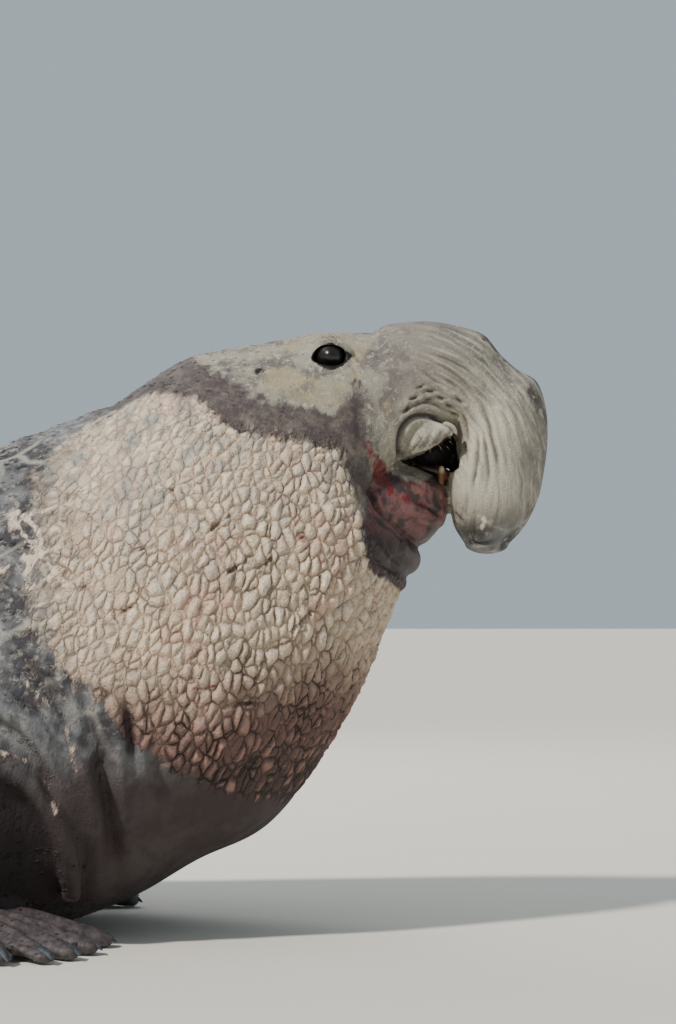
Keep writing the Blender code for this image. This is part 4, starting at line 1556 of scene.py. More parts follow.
    def comb(self, body: Piece) -> None:
        """Stores what the coat needs on the finished skin: its lay, its unwrap and its regions.

        Args:
            body: the skin.
        """
        points = read_points(body.data)
        x, y, z = points.T
        axis_z = np.interp(x, (-1.6, 0.0, 1.2, 1.8, 2.3), (0.2, 0.38, 0.5, 0.95, 1.05))
        turn = np.arctan2(y, z - axis_z) / (2 * math.pi) + 0.5
        across = 0.02 + 0.66 * turn
        along = 0.02 + 0.96 * np.clip((x + 2.1) / 4.6, 0, 1)
        limb = (np.abs(y) > 0.36) & (z < 0.16) & (x > 0.8) | (x < -1.66)
        across = np.where(limb, 0.70 + 0.28 * np.clip((y + 0.8) / 1.6, 0, 1), across)
        store(body.data, UNWRAP, np.column_stack([along, across, np.zeros(len(x))]))
        lay = np.column_stack([np.full(len(x), -1.0), np.zeros(len(x)), np.full(len(x), -0.35)])
        front = soft_step(x, 1.5, 1.9)
        lay[:, 0] += 0.35 * front
        lay[:, 2] -= 0.75 * front
        store(body.data, LAY, lay)
        store(body.data, REGION, np.digitize(x, (-0.4, 0.8, 1.45, 1.85)).astype(float))


# Folds, creases and markings, as (x, z) in the side view

PAD_FOLD = (
    (2.038, 0.970), (2.036, 1.008), (2.044, 1.038), (2.062, 1.057), (2.088, 1.062), (2.118, 1.055),
    (2.142, 1.041), (2.156, 1.024),
)
PAD_RIM = ((2.028, 1.040), (2.040, 1.062), (2.062, 1.078), (2.086, 1.088), (2.115, 1.082), (2.148, 1.058))
PAD_GROOVE = ((2.050, 0.978), (2.072, 1.000), (2.098, 1.036))
UPPER_LID = ((1.852, 1.181), (1.868, 1.206), (1.894, 1.217), (1.921, 1.207), (1.942, 1.187))
LOWER_LID = ((1.856, 1.172), (1.876, 1.150), (1.903, 1.143), (1.928, 1.154), (1.944, 1.174))
SWEEPS = (
    ((2.072, 1.160), (2.105, 1.136), (2.130, 1.124)),
    ((2.091, 1.176), (2.128, 1.160), (2.162, 1.139), (2.181, 1.118), (2.200, 1.090)),
    ((2.107, 1.145), (2.147, 1.127), (2.171, 1.108), (2.190, 1.080)),
    ((2.080, 1.195), (2.130, 1.182), (2.175, 1.160), (2.205, 1.130)),
)
SLITS = (
    ((2.055, 1.091), (2.076, 1.101)),
    ((2.074, 1.117), (2.086, 1.122)),
    ((2.088, 1.112), (2.109, 1.110)),
    ((2.110, 1.101), (2.130, 1.095)),
    ((2.086, 1.092), (2.104, 1.096)),
    ((2.129, 1.085), (2.146, 1.079)),
    ((2.139, 1.072), (2.156, 1.062)),
    ((2.150, 1.099), (2.169, 1.086)),
    ((2.048, 1.066), (2.058, 1.082)),
)
DOWN_LINES = (
    ((2.185, 1.116), (2.205, 1.091), (2.219, 1.053), (2.228, 1.014), (2.240, 0.972), (2.247, 0.920)),
    ((2.148, 1.079), (2.169, 1.060), (2.176, 1.030), (2.180, 0.990)),
    ((2.152, 1.060), (2.166, 1.027), (2.172, 0.997), (2.179, 0.948)),
    ((2.193, 1.060), (2.199, 0.996), (2.195, 0.948), (2.190, 0.916), (2.194, 0.882)),
    ((2.206, 1.052), (2.214, 1.000), (2.221, 0.950), (2.220, 0.900)),
)
SHIELD_CRACKS = (
    ((1.679, 0.714), (1.698, 0.737), (1.725, 0.758), (1.752, 0.782)),
    ((1.600, 0.555), (1.629, 0.573), (1.665, 0.599)),
    ((1.645, 0.812), (1.681, 0.837), (1.715, 0.862)),
    ((1.742, 0.742), (1.772, 0.756), (1.786, 0.783)),
    ((1.802, 0.609), (1.839, 0.639), (1.877, 0.677)),
    ((1.743, 0.512), (1.761, 0.542), (1.765, 0.572)),
    ((1.558, 0.880), (1.583, 0.899), (1.599, 0.911)),
    ((1.501, 0.774), (1.538, 0.786), (1.566, 0.808)),
    ((1.400, 0.690), (1.425, 0.722), (1.430, 0.760)),
    ((1.470, 0.640), (1.505, 0.668), (1.535, 0.672)),
    ((1.690, 0.470), (1.730, 0.480), (1.770, 0.476)),
)

CREASES: tuple[Crease, ...] = (
    Crease(PAD_FOLD, 0.0060, 0.0110, 0.20, taper=0.05),
    Crease(PAD_RIM, 0.0045, 0.0040, 0.35, 0.7),
    *(Crease(path, 0.0040, 0.0034, 0.4, 0.90) for path in side_by_side(PAD_GROOVE, (0.0125, 0.0035), 6)),
    Crease(UPPER_LID, 0.0050, 0.0044, 0.4, 0.35),
    Crease(LOWER_LID, 0.0048, 0.0036, 0.4, 0.30),
    *(Crease(path, 0.0050, 0.0016, 0.3, 0.25) for path in side_by_side(LOWER_LID[1:4], (0.004, -0.014), 3)),
    Crease(((1.934, 1.183), (1.946, 1.184), (1.957, 1.172), (1.974, 1.180)), 0.0045, 0.0040, 0.5, 0.5),
    Crease(((1.930, 1.168), (1.944, 1.158), (1.952, 1.140)), 0.0050, 0.0030, 0.4, 0.3),
    *(Crease(path, 0.0055, 0.0036, 0.5, 0.70) for path in SWEEPS),
    *(Crease(path, 0.0034, 0.0042, 0.5, 1.0) for path in SLITS),
    *(Crease(path, 0.0048, 0.0040, 0.5, 0.80) for path in DOWN_LINES),
    Crease(((2.150, 0.866), (2.168, 0.843)), 0.0034, 0.0060, 0.3),
    Crease(((2.196, 0.860), (2.191, 0.830), (2.194, 0.801)), 0.0050, 0.0045, 0.4, 0.35),
    Crease(((2.186, 0.806), (2.200, 0.799), (2.227, 0.803), (2.246, 0.815)), 0.0045, 0.0045, 0.3, 0.45),
    *(Crease(path, 0.0055, 0.0020, 0.5, 0.3) for path in side_by_side(DOWN_LINES[0][1:], (0.020, 0.004), 4)),
    Crease(((2.060, 0.888), (2.086, 0.877), (2.110, 0.865), (2.133, 0.853)), 0.0045, 0.0070, 0.4),
    Crease(((2.040, 0.930), (2.070, 0.922), (2.100, 0.908)), 0.0050, 0.0040, 0.4, 0.6),
    Crease(((2.050, 0.850), (2.080, 0.836), (2.110, 0.832)), 0.0050, 0.0040, 0.4, 0.6),
    Crease(
        ((1.972, 0.915), (1.983, 0.875), (1.999, 0.842), (2.021, 0.830), (2.043, 0.813), (2.070, 0.794)),
        0.0065,
        0.0110,
        0.2,
        taper=0.1,
    ),
    Crease(((1.978, 0.790), (1.995, 0.767), (2.014, 0.749), (2.040, 0.736)), 0.0060, 0.0090, 0.2, taper=0.1),
    Crease(((2.038, 0.824), (2.040, 0.801), (2.036, 0.778)), 0.0050, 0.0050, 0.4, 0.8),
    Crease(((2.010, 0.815), (2.012, 0.795), (2.006, 0.775)), 0.0050, 0.0035, 0.4, 0.6),
    Crease(((1.950, 1.112), (1.953, 1.069), (1.957, 1.010), (1.966, 0.950)), 0.0090, 0.0040, 0.2, 0.3),
    *(Crease(path, 0.0032, 0.0060, 0.25, 0.75, True) for path in SHIELD_CRACKS),
    Crease(((1.444, 0.430), (1.455, 0.350), (1.470, 0.240), (1.466, 0.120)), 0.0160, 0.0240, 0.35, 0.8),
    Crease(((1.500, 0.500), (1.508, 0.430), (1.513, 0.360)), 0.0110, 0.0160, 0.4, 1.0),
    Crease(((1.220, 0.345), (1.290, 0.270), (1.310, 0.180), (1.310, 0.100)), 0.0600, 0.0230, 0.1, 0.0),
    Crease(((1.180, 0.480), (1.290, 0.430), (1.350, 0.340), (1.372, 0.240)), 0.0110, 0.0090, 0.5, 0.6),
    Crease(((1.200, 0.610), (1.310, 0.560), (1.380, 0.480), (1.410, 0.380)), 0.0120, 0.0110, 0.5, 0.6),
    Crease(((1.540, 0.420), (1.560, 0.340), (1.570, 0.260)), 0.0120, 0.0080, 0.4, 0.5),
    Crease(((1.405, 0.560), (1.425, 0.470), (1.430, 0.380)), 0.0130, 0.0100, 0.4, 0.5),
    Crease(((1.490, 0.235), (1.530, 0.175), (1.560, 0.150)), 0.0080, 0.0050, 0.4, 0.4),
    Crease(
        ((1.480, -0.300, 1.090), (1.440, -0.150, 1.115), (1.425, 0.000, 1.120)),
        0.0300,
        0.0120,
        0.4,
        0.3,
        taper=0.2,
    ),
    Crease(
        ((1.330, -0.280, 1.050), (1.290, -0.140, 1.070), (1.275, 0.000, 1.075)),
        0.0320,
        0.0120,
        0.4,
        0.3,
        taper=0.2,
    ),
    Crease(((0.640, -0.520, 0.560), (0.600, -0.300, 0.800), (0.590, 0.000, 0.880)), 0.0450, 0.0100, 0.4, 0.2),
    Crease(
        ((-0.900, -0.390, 0.300), (-0.930, -0.250, 0.520), (-0.940, 0.000, 0.620)),
        0.0400,
        0.0120,
        0.4,
        0.2,
    ),
    Crease(
        ((-1.280, -0.250, 0.250), (-1.300, -0.150, 0.430), (-1.310, 0.000, 0.500)),
        0.0350,
        0.0140,
        0.4,
        0.2,
    ),
)

SHIELD_OUTLINE: tuple[SidePoint, ...] = (
    (1.537, 1.112), (1.625, 1.098), (1.700, 1.035), (1.774, 1.028), (1.834, 1.010), (1.900, 1.000),
    (1.924, 0.975), (1.938, 0.904), (1.958, 0.860), (1.966, 0.803), (1.982, 0.768), (2.023, 0.722),
    (2.300, 0.700), (2.300, 0.255), (1.860, 0.260), (1.750, 0.282), (1.660, 0.312), (1.580, 0.360),
    (1.500, 0.425), (1.430, 0.510), (1.360, 0.560), (1.330, 0.620), (1.315, 0.750), (1.300, 0.900),
    (1.330, 0.985), (1.400, 1.030),
)
BAND_OUTLINE: tuple[SidePoint, ...] = (
    (1.400, 1.320), (1.400, 1.050), (1.537, 1.105), (1.625, 1.090), (1.700, 1.022), (1.834, 0.998),
    (1.905, 0.985), (1.930, 0.935), (1.955, 0.870), (1.963, 0.800), (1.990, 0.795), (1.985, 0.875),
    (2.006, 0.876), (1.979, 0.947), (1.967, 1.007), (1.962, 1.106), (1.940, 1.105), (1.906, 1.055),
    (1.833, 1.072), (1.763, 1.085), (1.691, 1.125), (1.603, 1.190), (1.560, 1.320),
)
JAW_OUTLINE: tuple[SidePoint, ...] = (
    (1.990, 0.985), (2.015, 0.950), (2.050, 0.925), (2.090, 0.930), (2.132, 0.950), (2.136, 0.825),
    (2.090, 0.770), (2.060, 0.690), (1.975, 0.745), (1.962, 0.830), (1.975, 0.910),
)
ARMPIT_OUTLINE: tuple[SidePoint, ...] = (
    (1.080, 0.420), (1.220, 0.410), (1.315, 0.335), (1.352, 0.230), (1.362, 0.110), (1.200, 0.090),
    (1.080, 0.120),
)
EYE_OUTLINE: tuple[SidePoint, ...] = (
    (1.852, 1.178), (1.868, 1.200), (1.893, 1.211), (1.918, 1.202), (1.940, 1.184), (1.922, 1.162),
    (1.900, 1.151), (1.872, 1.158),
)
MOUTH_OUTLINE: tuple[SidePoint, ...] = (
    (2.036, 0.969), (2.101, 0.994), (2.150, 1.026), (2.160, 1.010), (2.160, 0.952), (2.119, 0.943),
    (2.086, 0.956),
)

ZONES: dict[Mask, tuple[Stroke | Patch, ...]] = {
    Mask.SHIELD: (
        Patch(SHIELD_OUTLINE, 0.045),
        Stroke(((1.300, 0.930), (1.290, 0.760), (1.330, 0.600)), 0.030, 0.085, 0.62),
        Stroke(((1.260, 0.560), (1.330, 0.500), (1.385, 0.430), (1.400, 0.350)), 0.012, 0.030, 0.50),
        Stroke(((1.240, 0.395), (1.290, 0.380), (1.340, 0.350), (1.370, 0.280)), 0.012, 0.022, 0.50),
        Stroke(((1.345, 0.560), (1.420, 0.500), (1.500, 0.440), (1.580, 0.390)), 0.030, 0.060, 0.46),
    ),
    Mask.RELIEF: (
        Patch(SHIELD_OUTLINE, 0.030),
        Stroke(((1.30, 0.60), (1.36, 0.90), (1.44, 1.05)), 0.10, 0.12, -0.60),
        Stroke(((1.44, 0.50), (1.49, 0.78), (1.58, 1.02)), 0.05, 0.12, -0.38),
        Stroke(((1.40, 0.38), (1.60, 0.28), (1.90, 0.22)), 0.06, 0.10, -0.72),
    ),
    Mask.SLATE: (
        Patch(BAND_OUTLINE, 0.026),
        Stroke(((1.948, 1.128), (1.953, 1.069), (1.960, 1.000)), 0.008, 0.012),
        # The nose's front edge: partly its own dark slate, partly painted shade.
        Stroke(
            ((2.305, 1.120), (2.352, 1.050), (2.356, 0.970), (2.345, 0.890), (2.315, 0.830)),
            0.012,
            0.022,
            0.75,
        ),
        Stroke(((2.205, 1.243), (2.245, 1.200), (2.285, 1.168)), 0.012, 0.016, 0.55),
        Stroke(((2.100, 1.272), (2.030, 1.262), (1.990, 1.240)), 0.010, 0.020, 0.35),
    ),
    Mask.CREAM: (
        Stroke(((1.800, 1.195), (1.850, 1.222), (1.904, 1.232), (1.950, 1.226)), 0.012, 0.014, 0.8),
        Stroke(((1.780, 1.135), (1.850, 1.108), (1.900, 1.098)), 0.030, 0.025, 0.9),
        Stroke(((1.948, 1.143), (1.955, 1.200), (1.968, 1.205)), 0.014, 0.012, 0.8),
        Stroke(((1.915, 1.060), (1.925, 1.075)), 0.008, 0.008, 0.9),
        Stroke(((1.975, 1.049), (2.006, 1.070), (2.035, 1.090)), 0.020, 0.018, 0.5),
    ),
    Mask.BLOOD: (
        Stroke(((1.970, 1.000), (1.982, 0.975), (1.994, 0.952)), 0.0070, 0.009, 0.95, True),
        Stroke(((1.984, 0.968), (2.002, 0.932), (2.020, 0.904)), 0.0130, 0.012, 0.95, True),
        Stroke(((2.008, 0.918), (2.036, 0.890), (2.070, 0.884), (2.105, 0.866)), 0.0090, 0.016, 0.70, True),
        Stroke(((2.040, 0.925), (2.075, 0.905), (2.110, 0.898)), 0.0050, 0.014, 0.45, True),
        Stroke(((1.826, 0.845), (1.835, 0.822), (1.842, 0.800)), 0.005, 0.010, 0.75, True),
        Stroke(((1.975, 0.835), (1.985, 0.812)), 0.006, 0.010, 0.6, True),
        Stroke(((1.627, 0.508), (1.669, 0.514), (1.688, 0.517)), 0.0025, 0.004, 0.8, True),
        Stroke(((1.505, 0.480), (1.530, 0.450), (1.560, 0.440)), 0.008, 0.014, 0.35, True),
        Stroke(((1.775, 0.760), (1.790, 0.775)), 0.003, 0.005, 0.6, True),
    ),
    Mask.RAW: (Patch(JAW_OUTLINE, 0.018),),
    Mask.BARE: (
        Patch(
            ((0.98, -0.1), (0.98, 0.075), (1.10, 0.110), (1.30, 0.075), (1.50, 0.050), (1.55, -0.1)),
            0.030,
        ),
        Patch(((-1.62, -0.1), (-1.62, 0.16), (-1.75, 0.22), (-2.20, 0.30), (-2.20, -0.1)), 0.040),
    ),
    # Painted shade, near black: the mouth's inside with the gum, and the valleys of the two folds in front of
    # the arm. Round the eye it is partly dark lids, partly painted shade.
    Mask.BLACK: (
        Patch(EYE_OUTLINE, 0.006),
        Patch(MOUTH_OUTLINE, 0.003),
        Stroke(((1.446, 0.400), (1.457, 0.330), (1.470, 0.240)), 0.010, 0.018, 0.60),
        Stroke(((1.506, 0.480), (1.512, 0.430), (1.520, 0.380)), 0.004, 0.012, 0.55),
    ),
    Mask.WORN: (
        Stroke(
            ((2.218, 1.080), (2.243, 1.070), (2.270, 1.059), (2.293, 1.046), (2.312, 1.036)),
            0.0018,
            0.0028,
            1.0,
            True,
        ),
        Stroke(((2.290, 1.062), (2.317, 1.052), (2.332, 1.051)), 0.0016, 0.0030, 0.8, True),
        Stroke(((2.270, 0.914), (2.298, 0.919), (2.317, 0.929)), 0.0016, 0.0030, 0.7, True),
        Stroke(((2.270, 0.950), (2.296, 0.938)), 0.0016, 0.0030, 0.5, True),
        Stroke(((2.294, 1.109), (2.325, 1.104)), 0.0030, 0.0050, 0.7, True),
        Stroke(((2.200, 0.856), (2.214, 0.846), (2.210, 0.828)), 0.0060, 0.0080, 0.7, True),
        Stroke(((2.172, 1.058), (2.176, 1.000), (2.178, 0.930)), 0.0020, 0.0040, 0.35),
        Stroke(((1.280, 0.860), (1.330, 0.800), (1.300, 0.730)), 0.0050, 0.0060, 0.9, True),
        Stroke(((1.230, 0.730), (1.300, 0.760), (1.370, 0.790)), 0.0050, 0.0060, 0.9, True),
        Stroke(((1.220, 0.690), (1.300, 0.700), (1.350, 0.730)), 0.0040, 0.0060, 0.8, True),
        Stroke(((1.270, 0.840), (1.340, 0.760), (1.400, 0.690)), 0.0050, 0.0060, 0.8, True),
        Stroke(((1.200, 0.790), (1.290, 0.845), (1.385, 0.875)), 0.0035, 0.0055, 0.8, True),
        Stroke(((1.200, 0.645), (1.280, 0.652), (1.370, 0.690)), 0.0035, 0.0055, 0.8, True),
        Stroke(((1.235, 0.905), (1.262, 0.825), (1.305, 0.755)), 0.0040, 0.0055, 0.8, True),
        Stroke(((1.215, 0.750), (1.265, 0.790), (1.330, 0.800)), 0.0030, 0.0050, 0.8, True),
        Stroke(((1.200, 0.860), (1.240, 0.845), (1.300, 0.870)), 0.0030, 0.0050, 0.7, True),
        Stroke(((1.235, 0.565), (1.330, 0.508), (1.387, 0.430), (1.402, 0.335)), 0.0060, 0.0150, 0.48, True),
        Stroke(((1.230, 0.405), (1.290, 0.384), (1.340, 0.350), (1.372, 0.270)), 0.0055, 0.0130, 0.46, True),
        Stroke(((1.240, 0.660), (1.320, 0.610), (1.400, 0.530)), 0.0050, 0.0150, 0.44, True),
    ),
    Mask.HAIR: (
        Patch(((-2.3, -0.1), (-2.3, 1.4), (1.40, 1.4), (1.40, -0.1)), 0.060, 1.0),
        Patch(BAND_OUTLINE, 0.030, 0.8),
        Patch(((1.55, 1.03), (1.55, 1.40), (2.10, 1.40), (2.05, 1.00), (1.95, 1.00)), 0.040, 0.55),
        Patch(EYE_OUTLINE, 0.012, -1.0),
    ),
    # Painted shade: the armpit under the fold and the strip in front of the arm, painted dark without ragged
    # edges.
    Mask.DIM: (
        Patch(ARMPIT_OUTLINE, 0.060),
        Stroke(((1.400, 0.330), (1.415, 0.230), (1.420, 0.120)), 0.010, 0.040, 0.55),
    ),
}


# Finishes


def srgb(red: int, green: int, blue: int) -> Point:
    """A colour given as it shows on a screen, as scene-linear numbers."""
    shares = (v / 255 for v in (red, green, blue))
    return tuple(v / 12.92 if v <= 0.04045 else ((v + 0.055) / 1.055) ** 2.4 for v in shares)


def new_material(name: str) -> tuple[Material, Net, bpy.types.Node]:
    """A material with its Principled shader, and the net of its tree.

    Args:
        name: name of the material.

    Returns:
        The material, its net and its shader node.
    """
    material = bpy.data.materials.new(name)
    material.use_nodes = True
    return material, Net(material.node_tree), material.node_tree.nodes["Principled BSDF"]


def feed(net: Net, shader: bpy.types.Node, **inputs: Any) -> None:
    """Links signals to the shader's sockets, or sets plain values. Underscores stand for spaces.

    Args:
        net: the net that the nodes go to.
        shader: the shader node.
        inputs: signals or values by socket.
    """
    for name, value in inputs.items():
        socket = shader.inputs[name.replace("_", " ")]
        if isinstance(value, Signal):
            net.tree.links.new(value.socket, socket)
        elif isinstance(value, tuple) and len(value) == 3 and socket.type == "RGBA":
            socket.default_value = (*value, 1.0)
        else:
            socket.default_value = value


def bump(net: Net, height: Signal, distance: float) -> Signal:
    """A normal that follows the height given, in steps of the distance."""
    return net.add("ShaderNodeBump", {}, {"Strength": 1.0, "Distance": distance, "Height": height})


@dataclass(frozen=True)
class HideFinish:
    """The finish of the skin and of the coat on it: one set of markings for both."""

    cobbles: Cobbles = Cobbles()
    blotch_grain: Grain = Grain((0.50, 0.0, 0.87), (1.0, 0.0, 0.0), (0.085, 0.034, 0.055))
    edge_grain: Grain = Grain((0.35, 0.0, 0.94), (1.0, 0.0, 0.0), (0.050, 0.020, 0.030))
    fold_grain: Grain = Grain((0.25, 0.0, 0.97), (1.0, 0.0, 0.0), (0.110, 0.020, 0.060))
    sweep_centre: SidePoint = (2.000, 0.900)
    sweep_radius: float = 0.24
    sweep_size: Point = (0.0075, 0.085, 0.030)
    scar_grain: Grain = Grain((0.80, 0.0, 0.60), (0.60, 0.0, -0.80), (0.230, 0.130, 0.210))
    sand: Point = srgb(206, 183, 158)
    # Pale sand: the shield's own pale blotches, and painted highlight on the cobbles' tops.
    sand_pale_and_highlight: Point = srgb(242, 228, 206)
    # Pink sand: the shield's own pink patches, and painted highlight on cobble tops low on the chest.
    sand_pink_and_highlight: Point = srgb(208, 160, 144)
    sand_blue: Point = srgb(156, 160, 156)
    sand_brown: Point = srgb(146, 118, 96)
    # Painted shade in the gaps between the cobbles, darker low on the chest.
    gap_shade: Point = srgb(76, 57, 50)
    low_gap_shade: Point = srgb(34, 26, 26)
    low_shield: Point = srgb(112, 86, 80)
    belly: Point = srgb(62, 50, 50)
    flank: Point = srgb(104, 104, 106)
    flank_dark: Point = srgb(56, 54, 58)
    flank_brown: Point = srgb(118, 102, 88)
    scar: Point = srgb(172, 168, 158)
    slate: Point = srgb(70, 61, 62)
    slate_brown: Point = srgb(104, 90, 84)
    cream: Point = srgb(160, 144, 114)
    grey: Point = srgb(148, 142, 127)
    # Dark grey: the face's own dark blotches and streaks, and painted shade in part on the nose's front edge.
    grey_dark_and_shade: Point = srgb(102, 95, 93)
    # Pale grey: the face's own pale flecks and streaks, and painted light on the lower nose.
    grey_pale_and_painted_light: Point = srgb(188, 182, 162)
    blood: Point = srgb(106, 30, 33)
    raw: Point = srgb(122, 78, 77)
    # Dark raw flesh: the jaw's own dark patches, and painted shade under the chin.
    raw_dark_and_shade: Point = srgb(50, 36, 40)
    bare: Point = srgb(92, 84, 84)
    bare_dark: Point = srgb(58, 52, 54)
    black: Point = srgb(22, 16, 18)
    # Colour of the painted shade in the armpit.
    painted_shade: Point = srgb(32, 26, 28)
    fresh_scar: Point = srgb(228, 208, 186)
    # Colour of the painted shade along the creases and cracks.
    crease: Point = srgb(58, 46, 48)

    def masks(self, net: Net, place: Signal) -> dict[Mask, Signal]:
        """The painted zones with ragged edges.

        Args:
            net: the net that the nodes go to.
            place: the place on the hide, in metres.

        Returns:
            A signal for each zone, 0 to 1.
        """
        ragged = (net.noise(self.edge_grain.place(net, place), 1.0, 4.0, 0.62) - 0.5) * 1.5
        found = {m: net.stored(m.value) for m in Mask}
        edges = {m: (v + ragged * v.step(0.0, 0.10)).step(0.34, 0.66) for m, v in found.items()}
        return {**edges, Mask.DIM: found[Mask.DIM].step(0.0, 1.0)}

    def sweeps(self, net: Net, place: Signal) -> Signal:
        """Streaks that run round the mouth and down the nose, 0 to 1.

        Args:
            net: the net that the nodes go to.
            place: the place on the hide, in metres.

        Returns:
            The streaks.
        """
        x, y, z = net.parts(net.warped(place, 0.06, 0.006))
        x, z = x - self.sweep_centre[0], z - self.sweep_centre[1]
        away = (x * x + z * z) ** 0.5
        turn = net.add("ShaderNodeMath", {"operation": "ARCTAN2"}, {0: z, 1: x})
        wide, long, deep = self.sweep_size
        bent = net.vector(away * (1.0 / wide), turn * (self.sweep_radius / long), y * (1.0 / deep))
        return net.noise(bent, 1.0, 2.0)

    def shield(self, net: Net, place: Signal) -> Signal:
        """Colour of the cobbled shield, with painted shade in the gaps and painted highlight on the cobbles'
        tops.

        Args:
            net: the net that the nodes go to.
            place: the place on the hide, in metres.

        Returns:
            The colour.
        """
        x, y, z = net.parts(place)
        cells = self.cobbles.coarse_cells(net, place)
        edge = net.cells(cells, "DISTANCE_TO_EDGE", "Distance")
        draw, other, _ = net.parts(net.cells(cells, "F1", "Color"))
        wide = net.noise(place, 0.13, 3.0, 0.6)
        blotch = net.noise(self.blotch_grain.place(net, place), 1.0, 3.0, 0.6)
        # Painted highlight: each cobble paler on its top, away from the gaps.
        sand = net.mix(edge.step(0.02, 0.34) * (draw * 0.45 + 0.25), self.sand, self.sand_pale_and_highlight)
        sand = net.mix(wide.step(0.50, 0.68) * other * 0.8, sand, self.sand_pink_and_highlight)
        high = z.step(0.72, 1.00) * (1.0 - x.step(1.62, 1.86) * 0.6)
        sand = net.mix(blotch.step(0.42, 0.66) * (high * 0.66 + 0.24), sand, self.sand_blue)
        sand = net.mix((1.0 - blotch).step(0.50, 0.66) * high * 0.55, sand, self.sand_pale_and_highlight)
        sand = net.tint(1.0, sand, net.mix(draw, (0.89, 0.87, 0.86), (1.05, 1.05, 1.04)))
        fall = z - (x - 1.6) * 0.10 + (wide - 0.5) * 0.22
        low = 1.0 - fall.step(0.40, 0.62)
        sand = net.mix(low, sand, self.low_shield)
        sand = net.mix(1.0 - fall.step(0.27, 0.42), sand, self.belly)
        # Painted highlight: pinkish tops of the cobbles low on the chest.
        sand = net.mix(edge.step(0.08, 0.34) * draw.step(0.30, 0.90) * low * 0.40, sand, self.sand_pink_and_highlight)
        # Painted shade: the gaps between the cobbles darkened, less at the top and more low on the chest.
        here = net.noise(place, 0.05, 2.0).step(0.38, 0.62)
        thin = 1.0 - (edge - here * 0.035).step(0.0, 0.075)
        grit = net.noise(place, 0.0055, 3.0, 0.7).step(0.46, 0.70)
        sand = net.mix(grit * (0.44 - high * 0.12) * (1.0 - low * 0.6), sand, self.sand_brown)
        share = (here * 0.50 + 0.06) * (1.0 - high * 0.45) + low * 0.30
        return net.mix(thin * share, sand, net.mix(low, self.gap_shade, self.low_gap_shade))

    def flanks(self, net: Net, place: Signal) -> Signal:
        """Colour of the trunk behind the shield, with its crossing pale scars.

        Args:
            net: the net that the nodes go to.
            place: the place on the hide, in metres.

        Returns:
            The colour.
        """
        x, y, z = net.parts(place)
        cells = self.scar_grain.place(net, net.warped(place, 0.12, 0.035))
        edge = net.cells(cells, "DISTANCE_TO_EDGE", "Distance")
        faint = net.noise(place, 0.15, 2.0)
        scars = (1.0 - edge.step(0.004, 0.060)) * faint.step(0.36, 0.60) * 0.85
        patch = net.noise(place, 0.10, 3.0, 0.62)
        base = net.mix(patch.step(0.42, 0.60), self.flank_dark, self.flank)
        rear = (1.0 - x.step(0.2, 1.1)) * (0.35 + z.step(0.1, 0.5) * 0.5)
        base = net.mix(rear * (1.0 - patch).step(0.35, 0.60), base, self.flank_brown)
        side = z.step(0.30, 0.60) * (0.14 + x.step(0.7, 1.2) * 0.86)
        base = net.mix(scars * side * 0.8, base, self.scar)
        flecks = net.noise(place, 0.020, 3.0, 0.70).step(0.50, 0.72)
        return net.mix(flecks * (side * 0.58 + 0.05), base, self.scar)

    def face(self, net: Net, place: Signal) -> Signal:
        """Colour of the head and nose, with painted light on the lower nose and painted shade in part on its
        front edge.

        Args:
            net: the net that the nodes go to.
            place: the place on the hide, in metres.

        Returns:
            The colour.
        """
        x, y, z = net.parts(place)
        blotch = net.noise(place, 0.055, 3.0, 0.62)
        fine = net.noise(place, 0.011, 3.0, 0.65)
        streak = self.sweeps(net, place)
        base = net.mix(blotch.step(0.34, 0.60), self.grey_dark_and_shade, self.grey)
        base = net.mix(fine.step(0.52, 0.68) * 0.60, base, self.grey_pale_and_painted_light)
        nose = x.step(2.05, 2.16)
        # Darker on the brow, and on the nose's front edge, which is partly its own dark tone and partly
        # painted shade.
        brow = x.step(1.96, 2.06) * (1.0 - x.step(2.12, 2.24)) * z.step(1.04, 1.12)
        base = net.mix((brow * 0.50).at_least(x.step(2.27, 2.36) * 0.50), base, self.grey_dark_and_shade)
        # Painted light: the lower part of the nose paler, as if sunlit.
        lower = nose * (1.0 - z.step(0.98, 1.20)) * (1.0 - x.step(2.22, 2.34))
        base = net.mix(lower * 0.85, base, self.grey_pale_and_painted_light)
        base = net.mix(nose * streak.step(0.50, 0.66) * 0.55, base, self.grey_pale_and_painted_light)
        return net.mix(nose * (1.0 - streak).step(0.52, 0.68) * 0.45, base, self.grey_dark_and_shade)

    def colour(self, net: Net, place: Signal, edges: dict[Mask, Signal]) -> Signal:
        """Colour of the whole hide.

        Args:
            net: the net that the nodes go to.
            place: the place on the hide, in metres.
            edges: the painted zones.

        Returns:
            The colour.
        """
        x, y, z = net.parts(place)
        fine = net.noise(place, 0.016, 4.0, 0.65)
        ahead = x.step(1.50, 1.62) * z.step(0.80, 0.92)
        base = net.mix(ahead, self.flanks(net, place), self.face(net, place))
        under = (1.0 - (z + (fine - 0.5) * 0.10).step(0.30, 0.42)) * x.step(0.60, 1.10)
        base = net.mix(under * 0.85, base, self.belly)
        mottle = net.noise(place, 0.040, 3.0, 0.62)
        front = (x + (mottle - 0.5) * 0.30).step(1.27, 1.42) * 0.75 + 0.25
        base = net.mix(edges[Mask.SHIELD] * front, base, self.shield(net, place))
        base = net.mix(edges[Mask.CREAM] * (0.15 + mottle.step(0.35, 0.62) * 0.60), base, self.cream)
        slate = net.mix(fine.step(0.44, 0.68) * 0.75, self.slate, self.slate_brown)
        base = net.mix(edges[Mask.SLATE] * (0.70 + mottle.step(0.34, 0.55) * 0.24), base, slate)
